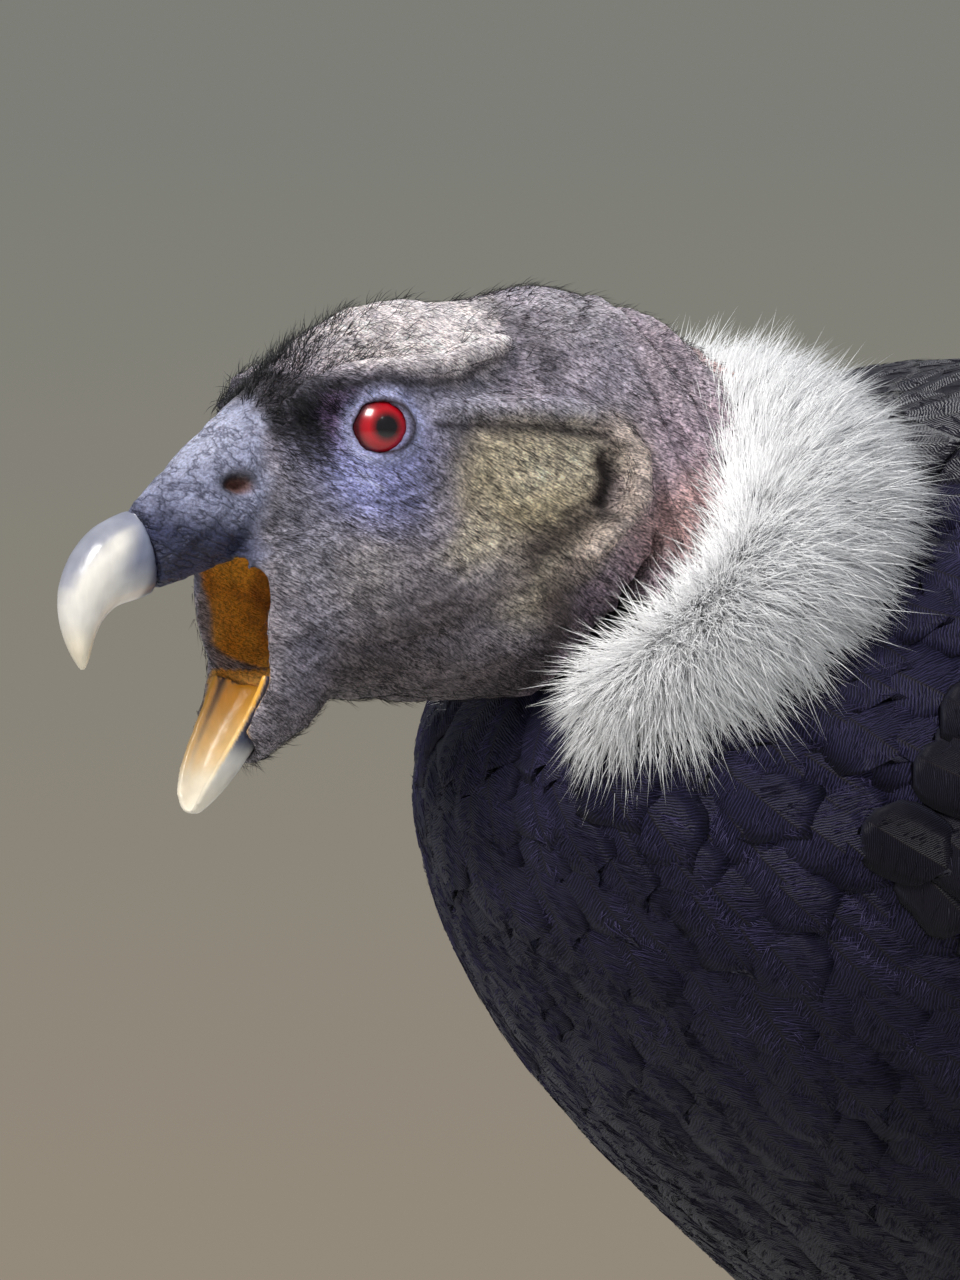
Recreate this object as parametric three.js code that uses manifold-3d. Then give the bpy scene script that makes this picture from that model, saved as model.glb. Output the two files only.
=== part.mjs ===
// A hen Andean condor at life size, standing on both feet with folded wings and an open bill.
// Millimetres. She faces -Y, her left side is +X and up is +Z.
import * as THREE from "three";
import Module from "manifold-3d";
import { mergeVertices } from "three/addons/utils/BufferGeometryUtils.js";

const wasm = await Module();
wasm.setup();

// Driving sizes
const GAP = 0.3; // between nodes that meet face to face
const GROW = 0.45; // how much fatter a body is made when it is cut out of its neighbour
const EYE_HEIGHT = 600; // above the floor
const HEAD_AT = new THREE.Vector3(-12, -284, EYE_HEIGHT); // midway between the eyes
const HEAD_TURN = THREE.MathUtils.degToRad(-7); // towards her right
const EYE_RADIUS = 8.5;
const EYE_SIDE = 18.2; // eyeball centre from the middle plane
const FEATHER_THICK = 2;
const FAR = 300; // beyond any part of the head
const LEFT_RIGHT = [1, -1];

const V = (x, y, z) => new THREE.Vector3(x, y, z);
const mix = THREE.MathUtils.lerp;

// Solids: a closed list of points and triangles, and the boolean steps between them
function solidOf(points, triangles) {
  const flat = new Float32Array(points.length * 3);
  points.forEach((p, i) => p.toArray(flat, i * 3));
  const make = (tris) =>
    new wasm.Manifold(
      new wasm.Mesh({
        numProp: 3,
        vertProperties: flat,
        triVerts: new Uint32Array(tris.flat()),
      }),
    );
  const made = make(triangles);
  return made.volume() > 0 ? made : make(triangles.map(([a, b, c]) => [a, c, b]));
}

function solidOfGeometry(geometry) {
  const bare = geometry.clone();
  bare.deleteAttribute("normal");
  bare.deleteAttribute("uv");
  const merged = mergeVertices(bare, 1e-3);
  const at = merged.attributes.position;
  const points = Array.from({ length: at.count }, (_, i) => V().fromBufferAttribute(at, i));
  const index = merged.index.array;
  const triangles = [];
  for (let i = 0; i < index.length; i += 3) {
    const t = [index[i], index[i + 1], index[i + 2]];
    if (new Set(t).size === 3) triangles.push(t);
  }
  return solidOf(points, triangles);
}

const union = (solids) => wasm.Manifold.union(solids);

// The largest closed surface of a solid, without loose scraps or sealed hollows
function largest(solid) {
  const bodies = solid.decompose().sort((a, b) => b.volume() - a.volume());
  return bodies[0];
}

// Rings joined end to end and closed at both ends by a point
function skinRings(rings, firstPole, lastPole) {
  const sides = rings[0].length;
  const points = rings.flat();
  const triangles = [];
  for (let i = 0; i + 1 < rings.length; i++)
    for (let j = 0; j < sides; j++) {
      const a = i * sides + j;
      const b = i * sides + ((j + 1) % sides);
      triangles.push([a, b, a + sides], [b, b + sides, a + sides]);
    }
  const first = points.push(firstPole) - 1;
  const last = points.push(lastPole) - 1;
  const end = (rings.length - 1) * sides;
  for (let j = 0; j < sides; j++) {
    const k = (j + 1) % sides;
    triangles.push([first, k, j], [last, end + j, end + k]);
  }
  return solidOf(points, triangles);
}

// A rib spans the body between two points of the middle plane: [upper y, z, lower y, z, half width].
function ribAt(ribs, s) {
  const place = s * (ribs.length - 1);
  const i = Math.min(ribs.length - 2, Math.max(0, Math.floor(place)));
  const t = place - i;
  const at = (k) => ribs[Math.min(ribs.length - 1, Math.max(0, k))];
  return ribs[i].map((_, c) => {
    const [p, a, b, n] = [at(i - 1)[c], at(i)[c], at(i + 1)[c], at(i + 2)[c]];
    return (
      a + 0.5 * t * (b - p + t * (2 * p - 5 * a + 4 * b - n + t * (3 * (a - b) + n - p)))
    );
  });
}

const bent = (x, power) => Math.sign(x) * Math.abs(x) ** (2 / power);

// The point of a ribbed body at share s of its length and an angle, 0 at its left side and 90 at the top
function ribPoint(ribs, s, angle, grow = 0, power = 2.15) {
  const [uy, uz, ly, lz, half] = ribAt(ribs, s);
  const up = V(0, uy - ly, uz - lz).multiplyScalar(0.5);
  const tall = up.length() + grow;
  return V(0, (uy + ly) / 2, (uz + lz) / 2)
    .addScaledVector(up.normalize(), bent(Math.sin(angle), power) * tall)
    .add(V(bent(Math.cos(angle), power) * (half + grow), 0, 0));
}

function ribbedBody(ribs, { steps, sides, grow = 0, power = 2.15, nose = 0.25 }) {
  const rings = [];
  for (let i = 0; i <= steps; i++)
    rings.push(
      Array.from({ length: sides }, (_, j) =>
        ribPoint(ribs, i / steps, (2 * Math.PI * j) / sides, grow, power),
      ),
    );
  const middle = (ring) =>
    ring.reduce((sum, p) => sum.add(p), V()).multiplyScalar(1 / ring.length);
  const pole = (ring, next) => {
    const c = middle(ring);
    const ahead = c.clone().sub(middle(next));
    return c.clone().addScaledVector(ahead, nose + (2 * grow) / ahead.length());
  };
  return skinRings(rings, pole(rings[0], rings[1]), pole(rings[steps], rings[steps - 1]));
}

// A round limb along a smooth line through points, with a radius at each point
function limb(points, radii, { steps = 10, sides = 8, flat = 1 } = {}) {
  const line = new THREE.CatmullRomCurve3(points, false, "centripetal");
  const frames = line.computeFrenetFrames(steps);
  const rings = [];
  for (let i = 0; i <= steps; i++) {
    const t = i / steps;
    const place = line.getUtoTmapping(t) * (radii.length - 1);
    const k = Math.min(radii.length - 2, Math.floor(place));
    const r = mix(radii[k], radii[k + 1], place - k);
    const c = line.getPointAt(t);
    rings.push(
      Array.from({ length: sides }, (_, j) => {
        const a = (2 * Math.PI * j) / sides;
        return c
          .clone()
          .addScaledVector(frames.normals[i], r * Math.cos(a))
          .addScaledVector(frames.binormals[i], r * flat * Math.sin(a));
      }),
    );
  }
  const start = points[0].clone().addScaledVector(frames.tangents[0], -radii[0] * 0.4);
  const end = points.at(-1).clone().addScaledVector(frames.tangents[steps], radii.at(-1) * 0.5);
  return skinRings(rings, start, end);
}

// A closed plate between two faces, each a point for its shares (u, v)
function closedPlate(outer, inner, steps, rows) {
  const grid = (face) => {
    const points = [];
    for (let i = 0; i <= steps; i++)
      for (let j = 0; j <= rows; j++) points.push(face(i / steps, j / rows));
    return points;
  };
  const points = [...grid(outer), ...grid(inner)];
  const width = rows + 1;
  const lower = points.length / 2;
  const triangles = [];
  const quad = (a, b, c, d) => triangles.push([a, b, c], [a, c, d]);
  for (let i = 0; i < steps; i++)
    for (let j = 0; j < rows; j++) {
      const a = i * width + j;
      quad(a, a + 1, a + width + 1, a + width);
      quad(lower + a, lower + a + width, lower + a + width + 1, lower + a + 1);
    }
  const edge = [];
  for (let j = 0; j < rows; j++) edge.push(j);
  for (let i = 0; i < steps; i++) edge.push(i * width + rows);
  for (let j = rows; j > 0; j--) edge.push(steps * width + j);
  for (let i = steps; i > 0; i--) edge.push(i * width);
  edge.forEach((a, k) => {
    const b = edge[(k + 1) % edge.length];
    quad(a, lower + a, lower + b, b);
  });
  return solidOf(points, triangles);
}

// A feather's vane or a lock of down: a flat blade of four edges that bows between its root and its tip
function blade({ root, tip, bow, across, width, thick = FEATHER_THICK, steps = 4, blunt = 0.35 }) {
  const line = new THREE.QuadraticBezierCurve3(
    root,
    root.clone().lerp(tip, 0.5).add(bow),
    tip,
  );
  const rings = [];
  for (let i = 0; i < steps; i++) {
    const t = i / steps;
    const along = line.getTangent(t);
    const flat = across.clone().addScaledVector(along, -across.dot(along)).normalize();
    const out = along.clone().cross(flat);
    const swell = Math.min(1, 0.45 + 2.2 * t) * (1 - Math.max(0, t - 0.5) * 2 * blunt);
    const c = line.getPoint(t);
    const edge = (side) => c.clone().addScaledVector(flat, (side * width * swell) / 2);
    const ridge = (side) => c.clone().addScaledVector(out, (side * thick) / 2);
    rings.push([edge(-1), ridge(1), edge(1), ridge(-1)]);
  }
  return skinBlade(rings, root.clone().addScaledVector(line.getTangent(0), -thick / 2), tip);
}

// As skinRings for four-cornered rings, with both faces split into triangles alike
function skinBlade(rings, first, last) {
  const points = rings.flat();
  const triangles = [];
  for (let i = 0; i + 1 < rings.length; i++)
    for (let j = 0; j < 4; j++) {
      const a = i * 4 + j;
      const b = i * 4 + ((j + 1) % 4);
      if (j % 2) triangles.push([a, b, b + 4], [a, b + 4, a + 4]);
      else triangles.push([a, b, a + 4], [b, b + 4, a + 4]);
    }
  const f = points.push(first) - 1;
  const l = points.push(last) - 1;
  const end = (rings.length - 1) * 4;
  for (let j = 0; j < 4; j++) {
    const k = (j + 1) % 4;
    triangles.push([f, k, j], [l, end + j, end + k]);
  }
  return solidOf(points, triangles);
}

const ball = (radius, at, scale = V(1, 1, 1), detail = 16) =>
  solidOfGeometry(
    new THREE.SphereGeometry(radius, detail, detail / 2)
      .scale(scale.x, scale.y, scale.z)
      .translate(at.x, at.y, at.z),
  );

const box = (low, high) =>
  solidOfGeometry(
    new THREE.BoxGeometry(high.x - low.x, high.y - low.y, high.z - low.z).translate(
      (low.x + high.x) / 2,
      (low.y + high.y) / 2,
      (low.z + high.z) / 2,
    ),
  );

// Looks of the sub-parts
const finish = (colour, roughness) =>
  new THREE.MeshStandardMaterial({ color: colour, roughness, metalness: 0 });
const LOOKS = {
  skin: finish(0x7d7480, 0.75),
  horn: finish(0xd9d4cc, 0.35),
  eye: finish(0xa01010, 0.1),
  down: finish(0xf2f2f4, 0.95),
  plumage: finish(0x17161d, 0.7),
  leg: finish(0x4a464a, 0.6),
  claw: finish(0x2b2829, 0.4),
};

const condor = new THREE.Group();

// A node: its solid's largest closed surface as a named mesh
function node(name, solid, look) {
  const { numProp, vertProperties, triVerts } = largest(solid).getMesh();
  const count = vertProperties.length / numProp;
  const flat = new Float32Array(count * 3);
  for (let i = 0; i < count; i++)
    flat.set(vertProperties.subarray(i * numProp, i * numProp + 3), i * 3);
  const geometry = new THREE.BufferGeometry()
    .setAttribute("position", new THREE.BufferAttribute(flat, 3))
    .setIndex(new THREE.BufferAttribute(triVerts, 1));
  geometry.computeVertexNormals();
  const mesh = new THREE.Mesh(geometry, look);
  mesh.name = name;
  condor.add(mesh);
}

const sideName = (side) => (side > 0 ? "left" : "right");

// Places and bodies of the head are given in its own frame, [forward, up] from midway between the eyes.
const headFrame = new THREE.Matrix4()
  .makeTranslation(HEAD_AT)
  .multiply(new THREE.Matrix4().makeRotationZ(HEAD_TURN));
const inHead = (solid) => solid.transform(headFrame.toArray());
const H = (side, forward, up) => V(side, -forward, up);
const headRib = ([fu, zu, fl, zl, half]) => [-fu, zu, -fl, zl, half];

// Head: the skull with the cere, and the cheeks and throat below it
const SKULL_RIBS = [
  [56, -19.5, 51, -39.5, 8.3],
  [48, -12, 43, -37.5, 10.5],
  [39, -4, 35, -34, 13],
  [30, 3.5, 27, -31, 16.5],
  [21, 12, 16, -33, 20.5],
  [9, 22, 4, -36, 23.5],
  [-5, 29, -8, -38, 24.8],
  [-19, 31, -20, -40, 26],
  [-32, 29.5, -32, -42, 27.5],
  [-46, 34.5, -45, -43, 29.5],
  [-62, 32.5, -58, -46, 31.5],
  [-74, 28.5, -66, -48, 33],
].map(headRib);

// The cheeks and throat, ringed level by level: [forward edge, back edge, up, half width]
const CHEEK_LEVELS = [
  [25, -62, -18, 24],
  [36, -66, -30, 26.5],
  [41, -68, -42, 26],
  [40, -68, -52, 22.5],
  [33, -66, -59, 15.5],
  [24, -62, -63, 8],
];

function levelBody(levels, sides, steps, grow = 0, power = 2.4) {
  const rings = [];
  for (let i = 0; i <= steps; i++) {
    const [front, back, up, half] = ribAt(levels, i / steps);
    rings.push(
      Array.from({ length: sides }, (_, j) => {
        const a = (2 * Math.PI * j) / sides;
        const reach = (front - back) / 2 + grow;
        return H(
          bent(Math.cos(a), power) * (half + grow),
          (front + back) / 2 + bent(Math.sin(a), power) * reach,
          up,
        );
      }),
    );
  }
  const pole = (level, by) => H(0, (level[0] + level[1]) / 2, level[2] + by);
  return skinRings(rings, pole(levels[0], 1), pole(levels.at(-1), -1.5));
}

// The open mouth, level by level from the palate to the floor of the lower jaw
const MOUTH_LEVELS = [
  [31, 8, -28.5, 6],
  [38, 3, -33, 12.5],
  [58, 0, -40.5, 17.5],
  [66, 4, -47, 17],
  [66, 10, -55, 14.2],
  [66, 18, -62, 12.6],
  [68, 24, -69, 11.2],
];

// The bare skin that wraps the base of the lower bill, ringed as the bill is
const MANDIBLE_RIBS = [
  [24.5, -44, -6, -56, 20],
  [26.5, -54, 4, -64, 17.4],
  [28, -61, 11, -70.5, 15.8],
  [31, -67, 19, -76, 14.4],
  [33.5, -71.5, 25, -79.5, 13.4],
];

// A fold of skin: a soft ridge along the side of the head
const fold = (places, radii, side) =>
  limb(
    places.map(([s, f, u]) => H(side * s, f, u)),
    radii,
    { steps: 6, sides: 5 },
  );

const BROW = [
  [15, 24, 5],
  [20.5, 14, 9.5],
  [23.5, 3, 12],
  [24, -9, 12.5],
  [24.5, -22, 15.5],
  [22.5, -33, 20],
];
const TEMPLE_FOLD = [
  [24.5, -12, 4],
  [27, -26, 4.5],
  [29.5, -42, 4],
  [31, -55, 2],
  [31.5, -61, -3],
];
// Small forms beside the folds: the ring of the lids, the nostril and the ear opening
const LIDS = { radius: 6.9, tube: 1.7, out: 6, ahead: 0.6, turn: THREE.MathUtils.degToRad(-14) };
const NOSTRIL = { radius: 3.2, at: [13, 35, -14], stretch: V(1.9, 1.15, 0.85) };
const EAR = { radius: 2.4, at: [29, -57, -8], stretch: V(1.4, 0.8, 1.7) };
const EAR_FOLD = [
  [31.5, -59.5, -2],
  [32.5, -63.5, -9],
  [32, -62, -17],
  [30, -57, -24],
  [28, -52, -30],
];

const skullSolid = (grow = 0) =>
  ribbedBody(SKULL_RIBS, { steps: 13, sides: 18, power: 2.1, nose: 0, grow });

const cheekSolid = (grow = 0) => levelBody(CHEEK_LEVELS, 18, 6, grow);
const neckSolid = (grow = 0) => ribbedBody(NECK_RIBS, { steps: 8, sides: 24, grow });

function headSolid() {
  const mandible = spoon(MANDIBLE_RIBS, { steps: 6, sides: 12 });
  const pieces = [skullSolid(), cheekSolid(), mandible];
  const cuts = [levelBody(MOUTH_LEVELS, 12, 6)];
  for (const side of LEFT_RIGHT) {
    pieces.push(fold(BROW, [2, 3.6, 4.2, 4, 3.8, 2.5], side));
    pieces.push(fold(TEMPLE_FOLD, [1.5, 2.4, 2.6, 2.8, 2.4], side));
    pieces.push(fold(EAR_FOLD, [2.2, 3.4, 3.2, 2.6, 1.2], side));
    const lids = new THREE.TorusGeometry(LIDS.radius, LIDS.tube, 5, 12)
      .rotateY(Math.PI / 2)
      .rotateZ(side * LIDS.turn)
      .translate(side * (EYE_SIDE + LIDS.out), -LIDS.ahead, 0);
    pieces.push(solidOfGeometry(lids));
    cuts.push(ball(EYE_RADIUS + GAP, H(side * EYE_SIDE, 0, 0), V(1, 1, 1), 12));
    for (const { radius, at, stretch } of [NOSTRIL, EAR])
      cuts.push(ball(radius, H(side * at[0], at[1], at[2]), stretch, 6));
  }
  return union(pieces).subtract(union(cuts));
}

// Neck: folded skin from the back of the head into the collar and on into the chest
const NECK_RIBS = [
  [-64, 31.5, -56, -50, 31],
  [-76, 28, -66, -55, 34],
  [-92, 20.5, -80, -62, 38],
  [-110, 5, -96, -68, 39],
  [-128, -8, -114, -72, 40],
].map(headRib);
const NECK_FROM = -70; // forward place of the cut between head and neck

// Upper bill: the hooked horn, rib by rib from the cere to its tip
const HOOK_RIBS = [
  [57, -19.5, 51.6, -39.6, 8.6],
  [65, -23, 56, -41, 8.3],
  [71.3, -29.5, 61, -42.5, 7.4],
  [74.8, -38, 64.8, -46, 6.2],
  [74.6, -46, 66.8, -50.5, 4.8],
  [72.4, -52.5, 67.8, -54.8, 3.1],
  [69.9, -57, 68.6, -57.4, 1.1],
].map(headRib);

// Lower bill: a spoon-shaped trough: [rim forward, up, outer forward, up, half width]
const SPOON_RIBS = [
  [27.5, -58, 14, -62, 13.2],
  [30, -64, 19, -68, 12.6],
  [34.2, -72, 25, -75.5, 11.4],
  [38.4, -80, 30.5, -83, 9.4],
  [41, -86.5, 35.5, -88.5, 6.4],
  [41.2, -90.5, 38.8, -91.2, 2.6],
];

// One side of the trough's ring is flat, at the rim, and the other is round.
function spoon(ribs, { steps, sides, shrink = 0, forward = 0 }) {
  const rings = [];
  for (let i = 0; i <= steps; i++) {
    const [rf, ru, of, ou, half] = ribAt(ribs, i / steps);
    const deep = V(0, -(of - rf), ou - ru);
    const depth = deep.length() - shrink;
    deep.normalize();
    const rim = H(0, rf, ru).addScaledVector(deep, -forward);
    rings.push(
      Array.from({ length: sides }, (_, j) => {
        const a = (Math.PI * j) / (sides - 1);
        return rim
          .clone()
          .add(V(Math.cos(a) * (half - shrink), 0, 0))
          .addScaledVector(deep, Math.sin(a) ** 0.8 * (depth + forward));
      }),
    );
  }
  const middle = (ring) =>
    ring.reduce((sum, p) => sum.add(p), V()).multiplyScalar(1 / ring.length);
  return skinRings(rings, middle(rings[0]), middle(rings.at(-1)));
}

// The lower jaw is the part of the head in this box, [least, most] corner.
const JAW = [V(-60, -36, -120), V(60, 28, -45)];

function headNodes() {
  const whole = headSolid();
  const jawBox = box(...JAW);
  const jawGap = box(JAW[0].clone().addScalar(-GAP), JAW[1].clone().addScalar(GAP));
  const behind = box(V(-FAR, -NECK_FROM, -FAR), V(FAR, FAR, FAR));
  const spoonOuter = spoon(SPOON_RIBS, { steps: 9, sides: 12 });
  const spoonGrown = spoon(SPOON_RIBS, { steps: 9, sides: 12, shrink: -GROW });
  const trough = spoon(SPOON_RIBS, { steps: 9, sides: 12, shrink: 2, forward: 1 });
  const front = whole.subtract(behind);
  const skull = front.subtract(jawGap);
  const jaw = front.intersect(jawBox).subtract(spoonGrown);
  const hook = ribbedBody(HOOK_RIBS, { steps: 12, sides: 16, nose: 0.3 });
  const hookGrown = ribbedBody(HOOK_RIBS, { steps: 12, sides: 16, nose: 0.3, grow: 0.4 });
  const neck = neckSolid().intersect(box(V(-FAR, -NECK_FROM + GAP, -FAR), V(FAR, FAR, FAR)));
  node("head", inHead(skull.subtract(hookGrown)).subtract(torsoGrown), LOOKS.skin);
  node("jaw", inHead(jaw), LOOKS.skin);
  node("bill_upper", inHead(hook), LOOKS.horn);
  node("bill_lower", inHead(spoonOuter.subtract(trough)), LOOKS.horn);
  for (const side of LEFT_RIGHT) {
    const eye = ball(EYE_RADIUS, H(side * EYE_SIDE, 0, 0), V(1, 1, 1), 12);
    node("eye_" + sideName(side), inHead(eye), LOOKS.eye);
  }
  return inHead(neck);
}

// Torso: [back y, z, belly y, z, half width], from the root of the neck to the rump
const TORSO_RIBS = [
  [-176, 595, -230, 546, 36],
  [-144, 604, -244, 512, 69],
  [-110, 613, -222, 468, 104],
  [-60, 610, -182, 424, 123],
  [0, 592, -122, 380, 129],
  [60, 564, -50, 346, 127],
  [115, 533, 22, 324, 115],
  [165, 500, 95, 322, 95],
  [207, 470, 160, 342, 69],
  [238, 444, 214, 374, 42],
];
const torso = ribbedBody(TORSO_RIBS, { steps: 16, sides: 24 });
const torsoGrown = ribbedBody(TORSO_RIBS, { steps: 16, sides: 24, grow: GROW });

// Collar: a wreath of down round the neck's root, from the nape down over the chest, open at the throat
const COLLAR = {
  nape: [-173, 594], // back, up
  throat: [-232, 525],
  wide: 58,
  tube: 30, // out to the tips of the down
  end: 0.62, // how much of that is left at the throat
  top: 0.88, // and over the nape
  core: 0.54, // share of the tube that is solid under the locks
  open: [26, 40].map(THREE.MathUtils.degToRad), // the gap at the throat, to her left and to her right
  rows: 4,
  locks: 15, // in one row
  lockWidth: 17,
  lockThick: 3.2,
  turns: [-0.9, 1.4], // where round the tube the first and last rows stand, 0 outwards and 1.57 backwards
  lie: 0.5, // how far a tip lies back, as a share of the tube
  bow: 2.5,
};

function collarPoint(angle) {
  const low = (1 - Math.sin(angle)) / 2;
  return V(
    COLLAR.wide * Math.cos(angle),
    mix(COLLAR.nape[0], COLLAR.throat[0], low ** 1.5),
    mix(COLLAR.nape[1], COLLAR.throat[1], low),
  );
}

const collarAngle = (share) =>
  mix(-Math.PI / 2 + COLLAR.open[0], (3 * Math.PI) / 2 - COLLAR.open[1], share);
const collarTube = (share) => {
  const rise = Math.sin(Math.PI * share) ** 0.5;
  const dip = (1 - COLLAR.top) * Math.exp(-(((share - 0.5) / 0.16) ** 2));
  return COLLAR.tube * (mix(COLLAR.end, 1, rise) - dip);
};

function collarCore() {
  const count = 20;
  const shares = Array.from({ length: count }, (_, i) => i / (count - 1));
  return limb(
    shares.map((t) => collarPoint(collarAngle(t))),
    shares.map((t) => collarTube(t) * COLLAR.core),
    { steps: 20, sides: 9 },
  );
}

// Locks of down stand out of the core in rows round its tube and lie back over the chest and shoulders.
function collarLocks() {
  const middle = collarPoint(Math.PI / 2).lerp(collarPoint(-Math.PI / 2), 0.5);
  const locks = [];
  for (let row = 0; row < COLLAR.rows; row++)
    for (let i = 0; i < COLLAR.locks; i++) {
      const share = (i + 0.5 * (row % 2) + 0.25) / COLLAR.locks;
      const at = collarPoint(collarAngle(share));
      const along = collarPoint(collarAngle(share + 0.01)).sub(at).normalize();
      const spoke = at.clone().sub(middle);
      const outward = spoke.addScaledVector(along, -spoke.dot(along)).normalize();
      const back = along.clone().cross(outward);
      back.multiplyScalar(Math.sign(back.y));
      const turn = mix(COLLAR.turns[0], COLLAR.turns[1], row / (COLLAR.rows - 1));
      const [c, n] = [Math.cos(turn), Math.sin(turn)];
      const way = outward.clone().multiplyScalar(c).addScaledVector(back, n);
      const lie = outward.clone().multiplyScalar(-n).addScaledVector(back, c);
      const tube = collarTube(share);
      locks.push(
        blade({
          root: at.clone().addScaledVector(way, tube * COLLAR.core * 0.75),
          tip: at.clone().addScaledVector(way, tube * 0.97).addScaledVector(lie, tube * COLLAR.lie),
          bow: way.clone().multiplyScalar(COLLAR.bow),
          across: along,
          width: COLLAR.lockWidth * (tube / COLLAR.tube),
          thick: COLLAR.lockThick,
          steps: 3,
          blunt: 0.5,
        }),
      );
    }
  return locks;
}

// Wing: a shell of coverts that lies on the torso, and the flight feathers that grow from its lower part
const WING = {
  from: 0.16,
  to: 0.86,
  top: THREE.MathUtils.degToRad(86),
  low: THREE.MathUtils.degToRad(-38),
  thick: 17,
};

function wingShell(side) {
  const steps = 8;
  const rows = 6;
  const face = (lift) => (u, v) => {
    const s = mix(WING.from + 0.07 * v, WING.to, u);
    const p = ribPoint(TORSO_RIBS, s, mix(WING.top, WING.low, v), GROW + lift(u, v));
    return V(side * p.x, p.y, p.z);
  };
  const camber = (u, v) =>
    1 + WING.thick * Math.sin(Math.PI * mix(0.08, 1, u)) ** 0.5 * Math.sin(Math.PI * v) ** 0.6;
  return closedPlate(face(camber), face(() => -4), steps, rows);
}

// Flight feathers of one folded wing, in tiers: each tier runs from its first feather to its last.
// A place is [side, back, up]; lift is how far the feather's outer face stands off the one below.
const TIERS = {
  primaries: {
    count: 7,
    roots: [[88, 128, 452], [66, 182, 436]],
    tips: [[74, 372, 292], [40, 520, 262]],
    bow: [16, 10, 26],
    across: [[0.75, 0.3, 0.6], [0.9, 0.15, 0.4]],
    width: 38,
  },
  secondaries: {
    count: 9,
    roots: [[124, -58, 470], [104, 122, 476]],
    tips: [[133, 62, 330], [74, 352, 322]],
    bow: [20, 0, 8],
    across: [[-0.45, 0.72, 0.63], [-0.45, 0.72, 0.63]],
    width: 48,
  },
  greater_coverts: {
    count: 8,
    roots: [[119, -60, 500], [98, 106, 506]],
    tips: [[144, 6, 412], [108, 232, 428]],
    bow: [9, 0, 4],
    across: [[-0.45, 0.72, 0.63], [-0.45, 0.72, 0.63]],
    width: 44,
  },
  tertials: {
    count: 5,
    roots: [[80, 56, 524], [42, 90, 538]],
    tips: [[86, 300, 392], [24, 318, 398]],
    bow: [5, 10, 26],
    across: [[0.8, 0, -0.6], [0.98, 0, -0.2]],
    width: 42,
  },
};

const place = ([x, y, z], side) => V(side * x, y, z);

const tierLine = ({ roots, tips, bow }, side, t) => {
  const between = ([a, b]) => place(a, side).lerp(place(b, side), t);
  const [root, tip] = [between(roots), between(tips)];
  const middle = root.clone().lerp(tip, 0.5).add(place(bow, side));
  return new THREE.QuadraticBezierCurve3(root, middle, tip);
};

// One tier of overlapping feathers
function tier(shape, side) {
  const { count, across, width } = shape;
  return Array.from({ length: count }, (_, i) => {
    const t = i / (count - 1);
    const line = tierLine(shape, side, t);
    return blade({
      root: line.v0,
      tip: line.v2,
      bow: place(shape.bow, side),
      across: place(across[0], side).lerp(place(across[1], side), t).normalize(),
      width,
    });
  });
}

const wingSolid = (side) =>
  union([wingShell(side), ...Object.values(TIERS).flatMap((shape) => tier(shape, side))]);

// Leg: feathered thigh, bare shank and a foot of four toes with flat soles
const LEG = {
  hip: [66, 56, 392],
  knee: [72, 20, 330],
  ankle: [66, 66, 158],
  foot: [64, 16, 20],
  thigh: [58, 58, 43, 24],
  shank: [13, 9.5, 11.5],
};
const TOES = {
  inner: { reach: 62, turn: -24, radius: 7.5 },
  middle: { reach: 88, turn: 2, radius: 8.5 },
  outer: { reach: 66, turn: 26, radius: 7.5 },
  hind: { reach: 34, turn: 176, radius: 6.5 },
};
const TOE_TAPER = [1.15, 1.05, 1, 0.95, 0.8];
const CLAW_LENGTH = 24;
const SOLE = 1.2; // how much of a toe's round underside is cut flat
const PAD = { radius: 14.5, top: 34 }; // the ball of the foot, and where the shank starts

const legPlaces = (side) => ["hip", "knee", "ankle", "foot"].map((k) => place(LEG[k], side));

function thighSolid(side, grow = 0) {
  const [hip, knee, ankle] = legPlaces(side);
  const line = [hip, knee, knee.clone().lerp(ankle, 0.6), ankle.clone().lerp(knee, 0.06)];
  return limb(line, LEG.thigh.map((r) => r + grow), { steps: 10, sides: 14 });
}

function shankSolid(side) {
  const [, , ankle, foot] = legPlaces(side);
  return limb([ankle, ankle.clone().lerp(foot, 0.5), foot], LEG.shank, { steps: 6, sides: 10 });
}

// A toe's middle line, on the floor at its ball and its tip
function toeLine(foot, side, { reach, turn, radius }) {
  const way = THREE.MathUtils.degToRad(turn) * side;
  const ahead = V(Math.sin(way), -Math.cos(way), 0);
  const at = (share, up) => foot.clone().addScaledVector(ahead, reach * share).setZ(up);
  const points = [
    at(0, radius + 7),
    at(0.3, radius + 3),
    at(0.55, radius - SOLE),
    at(0.75, radius + 1),
    at(1, radius - SOLE),
  ];
  return { points, ahead, end: points.at(-1) };
}

const toeSolid = (foot, side, toe, grow = 0) =>
  limb(toeLine(foot, side, toe).points, TOE_TAPER.map((share) => toe.radius * share + grow), {
    steps: 7,
    sides: 8,
  });

// A claw grows out of its toe's end and arches down to the floor.
function clawSolid(foot, side, toe, grow = 0) {
  const { ahead, end } = toeLine(foot, side, toe);
  const r = toe.radius;
  const reach = CLAW_LENGTH * (r / TOES.middle.radius);
  const at = (forward, up) => end.clone().addScaledVector(ahead, forward).setZ(up);
  return limb(
    [at(1.5, r - 1), at(reach * 0.45, r + 2), at(reach * 0.8, r * 0.75), at(reach, 2)],
    [r * 0.5, r * 0.45, r * 0.3, 0.8].map((radius) => radius + grow),
    { steps: 5, sides: 6 },
  );
}

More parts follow.
